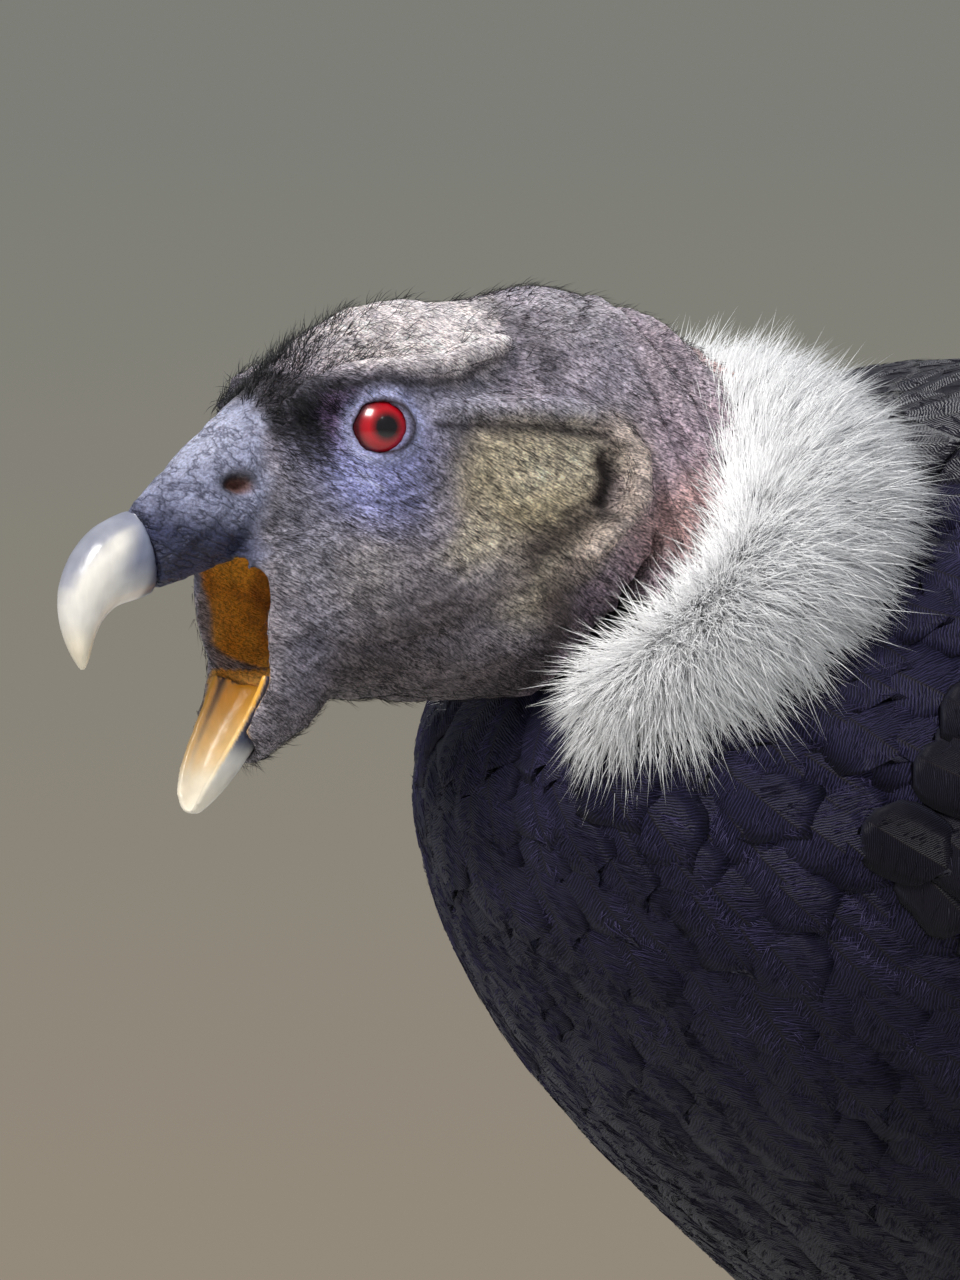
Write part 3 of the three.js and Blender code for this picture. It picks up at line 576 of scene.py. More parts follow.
    # The mouth's lining, where the skin faces into the gape
    raised = gape_lift(head)
    up = up - raised
    level = np.clip(-up, -MOUTH_LEVELS[0, 2], -MOUTH_LEVELS[-1, 2])
    mouth_half = np.interp(level, -MOUTH_LEVELS[:, 2], MOUTH_LEVELS[:, 3])
    mouth_back = np.interp(level, -MOUTH_LEVELS[:, 2], MOUTH_LEVELS[:, 1])
    inside = smooth_step(-26, -29, up) * (forward > mouth_back - 2.5)
    inside = inside * smooth_step(1.9, 0.9, np.abs(side) - mouth_half)
    wall = np.clip(-head_n[:, 0] * np.sign(side), 0, 1)
    back_wall = 0.9 * np.clip(head_n[:, 1], 0, 1) * (forward < mouth_back + 9)
    roof = np.clip(-head_n[:, 2], 0, 1) * (up > -44) * (forward < 33)
    inward = wall + back_wall + (roof + np.clip(head_n[:, 2], 0, 1) * (up < -50))
    lip_here = np.interp(-up, -lip_up, lip_forward)
    lining = inside * smooth_step(0.25, 0.6, inward) * smooth_step(-74, -71, up)
    lining *= np.where(np.abs(side) > 8, smooth_step(0.4, -1.4, forward - lip_here) + (up < -57), 1)
    lay(MOUTH, lining)
    # Darker mottles of the lining, and painted shade deep in the mouth's upper back under the roof.
    mottle = 0.55 * value_noise(head, 0.12, 28) + 0.35 * value_noise(head, 0.35, 29)
    deep = np.clip(smooth_step(24, 6, forward) * smooth_step(-60, -46, up) + mottle, 0, 1)
    lay(MOUTH_MOTTLE_AND_SHADE, lining * deep * 0.8)
    lay(MOUTH_PALE, lining * smooth_step(-54, -68, up) * 0.7)
    add_attribute(obj, "cere", cere * (1 - nostril * beak_side))
    covered = (1 - cere) * (1 - lining) * (1 - bell(eye, 9.0) * near)
    add_attribute(obj, "streaks", np.clip(covered, 0, 1))
    tone = 1 + covered * 0.30 * streak
    tone = tone + 0.12 * value_noise(head, 0.3, 23) + 0.08 * value_noise(head, 0.9, 24)
    colour = colour * (1 + 0.45 * covered + 0.3 * cere)[:, None]
    paint(obj, "skin_colour", np.clip(colour * np.clip(tone, 0.3, 2)[:, None], 0, 1))
    return lining


def tube_object(name, line, radius):
    """A round closed tube along points of the head's frame."""
    line = np.asarray(line, float)
    along = unit(np.gradient(line, axis=0))
    e1 = unit(np.cross(along, np.array([1.0, 0.3, 0.2])))
    e2 = np.cross(along, e1)
    turn = np.linspace(0, 2 * np.pi, 9)[None, :-1, None]
    rings = line[:, None] + radius * (np.cos(turn) * e1[:, None] + np.sin(turn) * e2[:, None])
    count = len(line)
    index = np.arange(count * 8).reshape(count, 8)
    turned = np.roll(index, -1, axis=1)
    quads = np.stack([index[:-1], turned[:-1], turned[1:], index[1:]], -1).reshape(-1, 4)
    first, last = np.full(8, count * 8), np.full(8, count * 8 + 1)
    ends = [np.stack([turned[0], index[0], first], -1), np.stack([index[-1], turned[-1], last], -1)]
    faces = np.concatenate([quads[:, [0, 1, 2]], quads[:, [0, 2, 3]], *ends])
    points = np.concatenate([rings.reshape(-1, 3), line[:1], line[-1:]])
    return mesh_object(name, head_to_world(points), faces, None)


# Lips: a rolled edge where the walls of the mouth meet the front of the cheeks
LIP_RADIUS = 1.7
lip_up = np.linspace(-31, -58.5, 16)
cheek = np.stack([np.interp(-lip_up, -CHEEK_LEVELS[:, 2], CHEEK_LEVELS[:, k]) for k in (0, 1, 3)], -1)
lip_side = np.interp(-lip_up, -MOUTH_LEVELS[:, 2], MOUTH_LEVELS[:, 3]) + 0.8
reach = (cheek[:, 0] - cheek[:, 1]) / 2
share = np.clip(1 - (lip_side / cheek[:, 2]) ** 2.4, 0, 1) ** (1 / 2.4)
lip_forward = (cheek[:, 0] + cheek[:, 1]) / 2 + reach * share - 1.6
lips = []
for way in (1, -1):
    lips.append(tube_object("lip", np.stack([way * lip_side, lip_forward, lip_up], -1), LIP_RADIUS))

skin = joined_copy("skin", ["head", "jaw", "neck"])
only(skin)
for lip in lips:
    lip.select_set(True)
bpy.ops.object.join()
apply_modifier(skin, "REMESH", mode="VOXEL", voxel_size=1.0 * MM)
apply_modifier(skin, "SMOOTH", factor=0.5, iterations=16)
shape_skin(skin)
inside_mouth = paint_skin(skin)
shade_smooth(skin)
skin.data.materials.append(skin_material)
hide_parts("head", "jaw", "neck")
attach(skin, "root")

# Eyes
# A glossy ball each, with a deep red iris round a black pupil, seen by distance from the ball's own axis.
BALL_RADIUS = 8.5
eye_material = new_material("eye", (0.4, 0.02, 0.02), 0.25, Coat_Weight=0.5, Coat_Roughness=0.02)
shade = Shade(eye_material)
radius_here = shade.node("ShaderNodeAttribute", attribute_name="iris").outputs["Fac"]
iris_noise = shade.noise(1500, 3)
radius_varied = shade.math("ADD", radius_here, shade.math("MULTIPLY", iris_noise, 0.06))
iris = shade.ramp(
    radius_varied,
    [
        (0.00, (0.002, 0.001, 0.002)),
        (0.30, (0.003, 0.001, 0.002)),
        (0.36, (0.10, 0.002, 0.004)),
        (0.52, (0.46, 0.003, 0.010)),
        (0.66, (0.36, 0.003, 0.010)),
        (0.78, (0.06, 0.003, 0.006)),
    ],
)
shade.link(iris, shade.shader.inputs["Base Color"])
for side, name, at in ((1, "eye_left", eye_left_at), (-1, "eye_right", eye_right_at)):
    deselect()
    bpy.ops.mesh.primitive_uv_sphere_add(segments=64, ring_count=32, radius=BALL_RADIUS * MM, location=at)
    bpy.ops.object.transform_apply(location=True)
    ball = bpy.context.active_object
    ball.name = name + "_ball"
    local = (points_of(ball) - np.array(at)) / MM
    turn = math.radians(EYE_TURN)
    gaze = np.array(head_side) * side * math.cos(turn) + np.array(head_forward) * math.sin(turn)
    away = np.linalg.norm(np.cross(local, gaze), axis=1) / BALL_RADIUS
    add_attribute(ball, "iris", np.where(local @ gaze > 0, away, 1))
    shade_smooth(ball)
    ball.data.materials.append(eye_material)
    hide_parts(name)
    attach(ball, "root")

# Bill
# The two horns: CAD solids, smoothed, with a grey-blue ridge, cream tip and dark base painted on.
horn_material = new_material("bill horn", (0.8, 0.78, 0.72), 0.28, Coat_Weight=0.3, Coat_Roughness=0.15)
shade = Shade(horn_material)
painted = shade.node("ShaderNodeVertexColor", layer_name="horn_colour").outputs[0]
grain = shade.ramp(shade.noise(260, 6, (1, 1, 0.35)), [(0.3, (0.86, 0.86, 0.87)), (0.7, (1.04, 1.03, 1.02))])
shade.link(shade.mix(1.0, painted, grain, "MULTIPLY"), shade.shader.inputs["Base Color"])
shade.bump(shade.noise(520, 6, (1, 1, 0.3)), 0.25, 0.0006)

HORN = (0.83, 0.80, 0.74)
HORN_RIDGE = (0.20, 0.22, 0.31)
HORN_TIP = (0.86, 0.76, 0.56)
HORN_BASE = (0.05, 0.06, 0.11)
TROUGH_TIP = (0.84, 0.74, 0.55)
TROUGH_MIDDLE = (0.84, 0.56, 0.24)

for node in ("bill_upper", "bill_lower"):
    horn = joined_copy(node + "_horn", [node])
    apply_modifier(horn, "REMESH", mode="VOXEL", voxel_size=0.55 * MM)
    apply_modifier(horn, "SMOOTH", factor=0.5, iterations=20)
    head = world_to_head(points_of(horn))
    side, forward, up = head.T
    colour, lay = coat_of_paint(HORN, len(head))
    head_n = normals_of(horn) @ HEAD_AXES.T
    if node == "bill_upper":
        ridge = smooth_step(0.45, 0.9, head_n[:, 1] * 0.6 + head_n[:, 2] * 0.9)
        wander = 1.5 * value_noise(head, 0.12, 33)
        lay(HORN_RIDGE, 0.85 * ridge * smooth_step(-50, -34, up + wander))
        cutting_edge = smooth_step(65, 58, forward + wander + 0.25 * (up + 30))
        lay(HORN_RIDGE, cutting_edge * smooth_step(-44, -30, up + wander))
        lay(HORN_BASE, 0.9 * smooth_step(57, 54, forward + wander))
        lay(HORN_TIP, smooth_step(-44, -54, up) * 0.8)
    else:
        lay(HORN_TIP, 0.5 * smooth_step(-78, -88, up))
        wander = 1.2 * value_noise(head, 0.2, 31)
        lay(HORN_BASE, smooth_step(-80, -73, up + wander))
        trough = smooth_step(0.1, 0.4, head_n[:, 1] * 0.9 + head_n[:, 2] * 0.3) * (np.abs(side) < 13.6)
        lay(TROUGH_TIP, trough * smooth_step(-92, -80, up + wander))
        lay(TROUGH_MIDDLE, trough * smooth_step(-84, -74, up + wander))
        lay(MOUTH, trough * smooth_step(-76, -62, up + wander))
    tone = 1 + 0.08 * value_noise(head, 0.35, 32)
    paint(horn, "horn_colour", np.clip(colour * tone[:, None], 0, 1))
    shade_smooth(horn)
    horn.data.materials.append(horn_material)
    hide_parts(node)
    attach(horn, "root")

# Torso and thighs
# Contour feathers in staggered rows cover a plain dark body from the neck to the rump and down both thighs.
# The chest's are navy with fine loose barbs. Each lies on the body's own surface, which the ribs below give.

# Body places are [side, back, up] in millimetres, from a point on the floor that the eyes' boxes set.
# A rib spans the body in the middle plane: [upper y, z, lower y, z, half width].
BODY_AT = HEAD_AT - np.array([-12, -284, 600]) * MM
rng = np.random.default_rng(7)
TORSO_RIBS = np.array([
    [-176, 595, -230, 546, 36],
    [-144, 604, -244, 512, 69],
    [-110, 613, -222, 468, 104],
    [-60, 610, -182, 424, 123],
    [0, 592, -122, 380, 129],
    [60, 564, -50, 346, 127],
    [115, 533, 22, 324, 115],
    [165, 500, 95, 322, 95],
    [207, 470, 160, 342, 69],
    [238, 444, 214, 374, 42],
], float)
BODY_POWER = 2.15


def body_to_world(points):
    return np.asarray(points, float) * MM + BODY_AT


def rib_at(ribs, share):
    place = np.clip(share, 0, 1) * (len(ribs) - 1)
    i = np.clip(np.floor(place).astype(int), 0, len(ribs) - 2)
    t = (place - i)[..., None]
    p = ribs[np.maximum(i - 1, 0)]
    a = ribs[i]
    b = ribs[i + 1]
    n = ribs[np.minimum(i + 2, len(ribs) - 1)]
    return a + 0.5 * t * (b - p + t * (2 * p - 5 * a + 4 * b - n + t * (3 * (a - b) + n - p)))


def bent(x):
    return np.sign(x) * np.abs(x) ** (2 / BODY_POWER)


def torso_place(share, angle, grow=0):
    """A point of the torso: share 0 at the neck and 1 at the rump, angle 0 at her left and 90 at her back."""
    rib = rib_at(TORSO_RIBS, share)
    across_y = (rib[..., 0] - rib[..., 2]) / 2
    across_z = (rib[..., 1] - rib[..., 3]) / 2
    tall = np.hypot(across_y, across_z)
    a = np.radians(angle)
    rise = bent(np.sin(a)) * (1 + grow / tall)
    return np.stack(
        [
            bent(np.cos(a)) * (rib[..., 4] + grow),
            (rib[..., 0] + rib[..., 2]) / 2 + across_y * rise,
            (rib[..., 1] + rib[..., 3]) / 2 + across_z * rise,
        ],
        -1,
    )


def torso_middle(p, share):
    """The middle of the torso at each share."""
    rib = rib_at(TORSO_RIBS, share)
    return np.stack([0 * rib[..., 0], (rib[..., 0] + rib[..., 2]) / 2, (rib[..., 1] + rib[..., 3]) / 2], -1)


torso_place.middle = torso_middle
# The thigh from hip to heel: [side, back, up, radius]
THIGH_LINE = np.array([
    [66, 56, 392, 58], [72, 20, 330, 58], [68.4, 47.6, 226.8, 43], [66.4, 63.2, 168.3, 24],
], float)
THIGH_LENGTH = 240


def thigh_place(side):
    """The surface of a thigh: share runs down it and the angle round it."""

    def at(share, angle):
        h = 1e-3
        past = np.maximum(share - 1, 0)[..., None] * THIGH_LENGTH
        share = np.clip(share, 0, 1)
        here = rib_at(THIGH_LINE, share)
        below = rib_at(THIGH_LINE, np.minimum(share + h, 1))[..., :3]
        above = rib_at(THIGH_LINE, np.maximum(share - h, 0))[..., :3]
        ahead = unit(below - above)
        e1 = unit(np.cross(ahead, np.array([0, 1.0, 0])))
        e2 = np.cross(ahead, e1)
        a = np.radians(angle)[..., None]
        p = here[..., :3] + ahead * past + here[..., 3:] * (np.cos(a) * e1 + np.sin(a) * e2)
        return p * np.array([side, 1, 1])

    at.middle = lambda p, share: rib_at(THIGH_LINE, np.clip(share, 0, 1))[..., :3] * np.array([side, 1, 1])
    return at


def with_normals(surface, share, angle):
    """Points of a surface and its unit normals, outwards."""
    p = surface(share, angle)
    h = 1e-3
    along = surface(share + h, angle) - surface(share - h, angle)
    round_ = surface(share, angle + 0.1) - surface(share, angle - 0.1)
    n = unit(np.cross(along, round_))
    inwards = np.mean((p - surface.middle(p, share)) * n) < 0
    return p, -n if inwards else n


def add_uv(obj, name, values):
    """values has one (u, v) per vertex."""
    mesh = obj.data
    index = np.empty(len(mesh.loops), np.int32)
    mesh.loops.foreach_get("vertex_index", index)
    layer = mesh.uv_layers.new(name=name)
    layer.data.foreach_set("uv", np.asarray(values, np.float32)[index].ravel())


# The side of a strand's or feather's patch in the OFBake map, and the share of the map that the roots fill
PATCH = 0.003
MAP_SHARE = 0.99


# A strand is a thin tapered spike of three sides. Barbs, down and hairs are made of them.
def strands(name, roots, ways, bends, lengths, radius, places, material, segments=2):
    """Tapered three-sided strands. ways is the first direction, bends is added to it towards the tip."""
    count = len(roots)
    t = np.linspace(0, 1, segments + 1)[None, :, None]
    line = roots[:, None] + lengths[:, None, None] * (ways[:, None] * t + bends[:, None] * t * t * 0.5)
    e1 = unit(np.cross(ways, rng.normal(0, 1, (count, 3))))
    e2 = np.cross(ways, e1)
    turn = (np.arange(3) * 2 * np.pi / 3)[None, :, None]
    around = np.cos(turn) * e1[:, None] + np.sin(turn) * e2[:, None]
    thick = radius * (1 - t[:, :-1] ** 1.5 * 0.6)
    body = line[:, :-1, None] + around[:, None] * thick[..., None]
    points = np.concatenate([body.reshape(count, -1, 3), line[:, -1:]], 1)
    number = points.shape[1]
    one = []
    for i in range(segments - 1):
        for j in range(3):
            a, b = i * 3 + j, i * 3 + (j + 1) % 3
            one += [(a, b, b + 3), (a, b + 3, a + 3)]
    last = (segments - 1) * 3
    one += [(last + j, last + (j + 1) % 3, number - 1) for j in range(3)]
    one += [(2, 1, 0)]
    faces = (np.array(one)[None] + (np.arange(count) * number)[:, None, None]).reshape(-1, 3)
    obj = mesh_object(name, body_to_world(points.reshape(-1, 3)), faces, material)
    patch = rng.uniform(0, PATCH, (count, number, 2))
    add_uv(obj, "OFBake", (places[:, None] * MAP_SHARE + patch).reshape(-1, 2))
    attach(obj, "root")


# A feather's vane is a thin closed lens with a rounded, slightly ragged outline. Its own map gives the place
# along and across it for the barb lines, and OFBake gives its root's place on the body's unwrap.
def vane_faces(count, rows, cols):
    """Faces of a closed lens over a grid of rows and cols, repeated count times."""
    width = cols + 1
    grid = np.arange((rows + 1) * width).reshape(rows + 1, width)
    under = grid.copy()
    number = (rows + 1) * width
    for i in range(1, rows):
        for j in range(1, cols):
            under[i, j] = number
            number += 1
    top = np.stack([grid[:-1, :-1], grid[:-1, 1:], grid[1:, 1:], grid[1:, :-1]], -1).reshape(-1, 4)
    low = np.stack([under[:-1, :-1], under[1:, :-1], under[1:, 1:], under[:-1, 1:]], -1).reshape(-1, 4)
    one = np.concatenate([top, low])
    return (one[None] + (np.arange(count) * number)[:, None, None]).reshape(-1, 4)


def vane_outline(t, blunt, quill):
    """Half width of a vane as a share of its widest, at share t of its length."""
    start = np.clip(t / quill, 0, 1) ** 0.6
    end = np.sqrt(np.clip(1 - np.clip((t - blunt) / (1 - blunt), 0, 1) ** 2.2, 0, 1))
    return np.maximum(0.04, (0.3 + 0.7 * start) * end)


def both_faces(top, under):
    """Each feather's values in one list: its top grid's, then its underside's inner ones."""
    count, width = len(top), top.shape[-1]
    return np.concatenate([top.reshape(count, -1, width), under[:, 1:-1, 1:-1].reshape(count, -1, width)], 1)


def vane_piece(name, top, normals, thick, across, places, material):
    """Lenses on a top grid of shape (count, rows + 1, cols + 1, 3). across is 0 to 1 over each grid."""
    count, rows, cols = len(top), top.shape[1] - 1, top.shape[2] - 1
    top = body_to_world(top)
    points = both_faces(top, top - normals * (thick * MM))
    along = np.broadcast_to(np.linspace(0, 1, rows + 1)[None, :, None], (count, rows + 1, cols + 1))
    own = np.stack([np.broadcast_to(across, along.shape), along], -1)
    own = both_faces(own, own)
    obj = mesh_object(name, points.reshape(-1, 3), vane_faces(count, rows, cols), material)
    add_uv(obj, "OFBake", (places[:, None] + own * PATCH).reshape(-1, 2))
    add_uv(obj, "vane", own.reshape(-1, 2))
    add_attribute(obj, "tint", np.repeat(rng.uniform(0, 1, count), points.shape[1]))
    return obj


# Where a surface's ribs crowd, a share of 1 still counts as at least this many millimetres.
LEAST_PER_SHARE = 160
FEATHER_BASE = 0.2
FEATHER_SPLAY = 4.0
FEATHER_BLUNT = 0.55
FEATHER_QUILL = 0.18
FEATHER_RAGGED = 0.06
FEATHER_THICK = 0.25
BARB_RADIUS = 0.10


def feather_coat(name, surface, roots, lengths, widths, material, rows, lift, unwrap=(0, 0, 1, 1),
                 barbs=0, barb_material=None):
    """Feathers that lie on a surface. roots is (share, angle) for each. Lengths and widths are in mm."""
    cols = 4
    count = len(roots)
    t = np.linspace(0, 1, rows + 1)[None, :, None]
    v = np.linspace(-1, 1, cols + 1)[None, None, :]
    share = roots[:, 0][:, None, None]
    angle = roots[:, 1][:, None, None]
    h = 2e-3
    p0 = surface(roots[:, 0], roots[:, 1])
    per_share = np.linalg.norm(surface(roots[:, 0] + h, roots[:, 1]) - p0, axis=-1) / h
    per_angle = np.linalg.norm(surface(roots[:, 0], roots[:, 1] + 0.5) - p0, axis=-1) / 0.5
    length = (lengths / np.maximum(per_share, LEAST_PER_SHARE))[:, None, None]
    width = (widths / 2 / np.maximum(per_angle, 0.05))[:, None, None]
    turn = rng.normal(0, FEATHER_SPLAY, count)[:, None, None]
    lean = np.tan(np.radians(turn)) * (lengths[:, None, None] / np.maximum(per_angle, 0.05)[:, None, None])
    notch = 1 + FEATHER_RAGGED * rng.normal(0, 1, (count, rows + 1, 1)) * (np.abs(v) > 0.99)
    w = width * vane_outline(t, FEATHER_BLUNT, FEATHER_QUILL) * v * notch
    s = share + length * t * (1 - 0.12 * v * v * t)
    a = angle + w + lean * t
    p, n = with_normals(surface, s, a)
    rise = FEATHER_BASE + rng.uniform(-0.15, 0.4, (count, 1, 1))
    rise = rise + lift * t ** 1.2 * (1 + 0.25 * rng.normal(0, 1, (count, 1, 1)))
    camber = 0.9 * (widths[:, None, None] / 20) * (1 - v * v) * np.sin(np.pi * np.clip(t, 0.05, 0.95))
    curl = rng.normal(0, 0.35, (count, 1, 1)) * v * t
    top = p + n * (rise + camber + curl)[..., None]
    place = np.stack([
        unwrap[0] + unwrap[2] * (roots[:, 0] - roots[:, 0].min()) / max(np.ptp(roots[:, 0]), 1e-6),
        unwrap[1] + unwrap[3] * (roots[:, 1] - roots[:, 1].min()) / max(np.ptp(roots[:, 1]), 1e-6),
    ], -1)
    obj = vane_piece(name, top, n, FEATHER_THICK, (v + 1) / 2, place * MAP_SHARE, material)
    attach(obj, "root")
    # Barbs: fine strands from the quill outwards that pass the margin a little
    if barbs:
        pick = np.repeat(np.arange(count), barbs)
        total = len(pick)
        flank = np.where(rng.uniform(0, 1, total) < 0.5, -1.0, 1.0)

        def on_vane(t_here, v_here):
            row = np.clip(t_here, 0, 0.999) * rows
            col = (np.clip(v_here, -1, 0.999) + 1) / 2 * cols
            i, j = np.floor(row).astype(int), np.floor(col).astype(int)
            a, b = (row - i)[:, None], (col - j)[:, None]
            upper = top[pick, i, j] * (1 - b) + top[pick, i, j + 1] * b
            lower = top[pick, i + 1, j] * (1 - b) + top[pick, i + 1, j + 1] * b
            return upper * (1 - a) + lower * a, n[pick, i, j]

        t_start = rng.uniform(0.12, 0.94, total)
        start, raised = on_vane(t_start, flank * rng.uniform(0.02, 0.35, total))
        t_end = np.minimum(t_start + rng.uniform(0.12, 0.24, total), 1)
        end, _ = on_vane(t_end, flank * rng.uniform(0.7, 1.0, total))
        size = np.linalg.norm(end - start, axis=1)
        way = unit(end - start) + raised * 0.03 + rng.normal(0, 0.035, start.shape)
        bend = np.zeros(start.shape)
        strands(name + "_barbs", start + raised * 0.12, unit(way), bend, size * rng.uniform(0.9, 1.22, total),
                BARB_RADIUS, place[pick], barb_material, segments=1)


def shingle_roots(surface, share_from, share_to, angle_from, angle_to, pitch_along, pitch_round):
    """Roots in staggered rows, evenly spaced in millimetres along and round a surface."""
    jitter = 0.25
    roots = []
    share = share_from
    row = 0
    middle = (angle_from + angle_to) / 2
    while share < share_to:
        h = 1e-3
        a = np.linspace(angle_from, angle_to, 25)
        ring = surface(np.full(25, share), a)
        reach = np.linalg.norm(np.diff(ring, axis=0), axis=1)
        total = reach.sum()
        count = max(3, int(round(total / pitch_round(share))))
        cumulative = np.concatenate([[0], np.cumsum(reach)]) / total
        spots = (np.arange(count) + 0.5 * (row % 2) + 0.25) / count
        spots = spots + rng.normal(0, jitter / count, count)
        angles = np.interp(np.clip(spots, 0, 1), cumulative, a)
        p = surface(np.array([share, share + h]), np.array([middle, middle]))
        per_share = np.linalg.norm(p[1] - p[0]) / h
        step = pitch_along(share) / max(per_share, 60)
        shares = share + rng.normal(0, jitter * step * 0.5, count)
        roots.append(np.stack([shares, angles], -1))
        share += step
        row += 1
    return np.concatenate(roots)


def shaded_below(s, colour):
    """The same colour with painted shade: darker towards the belly, and a little lighter high up."""
    place = s.node("ShaderNodeTexCoord").outputs["Object"]
    split = s.node("ShaderNodeSeparateXYZ")
    s.link(place, split.inputs[0])
    wander = s.math("MULTIPLY", s.math("SUBTRACT", s.noise(9, 2), 0.5), 0.10)
    height = s.math("ADD", split.outputs[2], wander)
    depth = s.ramp(
        height, [(0.30, (0.30, 0.26, 0.26)), (0.42, (0.55, 0.48, 0.50)), (0.52, (1.15, 1.15, 1.2))]
    )
    s.link(s.mix(1.0, colour, depth, "MULTIPLY"), s.shader.inputs["Base Color"])


def feather_material(name, base, edge, sheen, lines, outer=None):
    """Dark vanes with slanting barb lines in a painted sheen, a quill line and a worn edge, and painted shade
    towards the belly. outer is a pale web on one side.
    """
    m = new_material(name, base, 0.48)
    s = Shade(m)
    uv = s.node("ShaderNodeUVMap", uv_map="vane").outputs[0]
    split = s.node("ShaderNodeSeparateXYZ")
    s.link(uv, split.inputs[0])
    u, v = split.outputs[0], split.outputs[1]
    off = s.math("ABSOLUTE", s.math("SUBTRACT", u, 0.5))
    wobble = s.math("MULTIPLY", s.noise(170, 4), 3.2)
    slant = s.math("SUBTRACT", v, s.math("MULTIPLY", off, 0.55))
    phase = s.math("ADD", s.math("MULTIPLY", slant, lines), wobble)
    barb = s.math("SINE", s.math("MULTIPLY", phase, 6.2832))
    tint = s.node("ShaderNodeAttribute", attribute_name="tint").outputs["Fac"]
    fine = s.math("MULTIPLY", s.math("ADD", barb, 1.0), 0.5)
    dark = s.mix(tint, base, tuple(c * 1.5 + 0.004 for c in base))
    # The barb lines are the vane's texture. Their lighter colour is a painted sheen, the light the barbs
    # catch.
    lined = s.mix(s.math("MULTIPLY", s.math("POWER", fine, 3.0), 0.75), dark, sheen)
    rim = s.math("MULTIPLY", s.math("POWER", s.math("MULTIPLY", off, 2.0), 5.0), 0.5)
    tip = s.math("MULTIPLY", s.math("POWER", v, 9.0), 0.6)
    worn = s.mix(s.math("MAXIMUM", rim, tip), lined, edge)
    if outer:
        side_share = s.math("GREATER_THAN", u, 0.54)
        inside_share = s.math("MULTIPLY", side_share, s.math("LESS_THAN", u, 0.93))
        short = s.math("MULTIPLY", inside_share, s.math("LESS_THAN", v, 0.93))
        pale = s.mix(s.math("MULTIPLY", fine, 0.4), outer, tuple(c * 0.7 for c in outer))
        worn = s.mix(short, worn, pale)
    quill = s.math("LESS_THAN", off, 0.014)
    final = s.mix(s.math("MULTIPLY", quill, 0.6), worn, (0.012, 0.01, 0.01))
    shaded_below(s, final)
    s.bump(barb, 0.5, 0.00022)
    s.shader.inputs["Specular IOR Level"].default_value = 0.12
    s.shader.inputs["Sheen Weight"].default_value = 0.03
    s.shader.inputs["Sheen Roughness"].default_value = 0.4
    s.shader.inputs["Sheen Tint"].default_value = (0.45, 0.5, 0.85, 1)
    return m


def loose_barbs(name, colour, tint):
    """Loose barbs in darker and lighter patches of a tint, with painted shade towards the belly. colour is
    what a plain view shows.
    """
    m = new_material(name, colour, 0.5, Specular_IOR_Level=0.15)
    s = Shade(m)
    dark = tuple(c * 0.25 for c in tint)
    light = tuple(c * 1.5 for c in tint)
    shaded_below(s, s.ramp(s.noise(60, 3), [(0.36, dark), (0.64, light)]))
    return m


chest_material = feather_material(
    "chest feathers", (0.0022, 0.0020, 0.0075), (0.010, 0.008, 0.015), (0.030, 0.027, 0.075), 38
)
body_material = feather_material(
    "body feathers", (0.0025, 0.0022, 0.0045), (0.010, 0.008, 0.010), (0.016, 0.014, 0.026), 42
)
under_material = new_material("under feathers", (0.003, 0.003, 0.005), 0.9, Specular_IOR_Level=0.15)
chest_barbs = loose_barbs("chest barbs", (0.03, 0.03, 0.06), (0.040, 0.035, 0.082))
body_barbs = loose_barbs("body barbs", (0.02, 0.02, 0.03), (0.020, 0.018, 0.030))

for piece, nodes in (("body_under", ["torso"]), ("thighs_under", ["thigh_left", "thigh_right"])):
    under = joined_copy(piece, nodes)
    shade_smooth(under)
    under.data.materials.append(under_material)
    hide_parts(*nodes)
    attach(under, "root")

chest_roots = shingle_roots(
    torso_place, 0.03, 0.40, -215, 35, lambda s: 8.5 + 12 * s, lambda s: 9.5 + 11 * s
)
reach = 22 + 34 * np.clip(chest_roots[:, 0], 0, 1) + rng.normal(0, 1.2, len(chest_roots))
feather_coat("chest_feathers", torso_place, chest_roots, reach, reach * 0.82, chest_material,
             rows=7, lift=1.0, unwrap=(0, 0, 0.4, 1), barbs=76, barb_material=chest_barbs)

back_roots = shingle_roots(torso_place, 0.03, 0.34, 35, 145, lambda s: 15, lambda s: 17)
reach = np.full(len(back_roots), 34.0) + rng.normal(0, 2, len(back_roots))
feather_coat("mantle_feathers", torso_place, back_roots, reach, reach * 0.8, body_material,
             rows=7, lift=1.8, unwrap=(0, 0, 0.4, 0.4), barbs=40, barb_material=body_barbs)

rear_roots = shingle_roots(torso_place, 0.40, 0.93, -215, 145, lambda s: 19, lambda s: 21)
reach = np.full(len(rear_roots), 44.0) + rng.normal(0, 3, len(rear_roots))
feather_coat("belly_and_back_feathers", torso_place, rear_roots, reach, reach * 0.7, body_material,
             rows=6, lift=2.6, unwrap=(0.4, 0, 0.6, 1))

for side, name in ((1, "left"), (-1, "right")):
    surface = thigh_place(side)
    roots = shingle_roots(surface, 0.12, 0.93, 0, 360, lambda s: 15, lambda s: 15)
    reach = np.full(len(roots), 38.0) + rng.normal(0, 2, len(roots))
    feather_coat("thigh_feathers_" + name, surface, roots, reach, reach * 0.55, body_material,
                 rows=6, lift=2.2)

# Wings
# Both wings are folded on the body. Coverts in staggered rows cover the wing's shell, and the long feathers
# follow in overlapping tiers, as in the CAD model but more of them. A pale web marks the wing's panel.
WING_FROM = 0.16
WING_TO = 0.86
WING_TOP = 86
WING_LOW = -38
WING_THICK = 17
FLIGHT_THICK = 0.8
FLIGHT_QUILL = 0.1
flight_material = feather_material(
    "flight feathers", (0.004, 0.0035, 0.0045), (0.018, 0.015, 0.015), (0.014, 0.013, 0.018), 150
)
panel_material = feather_material(
    "wing panel feathers", (0.012, 0.011, 0.013), (0.10, 0.09, 0.09), (0.04, 0.04, 0.05), 120,
    (0.52, 0.51, 0.50)
)


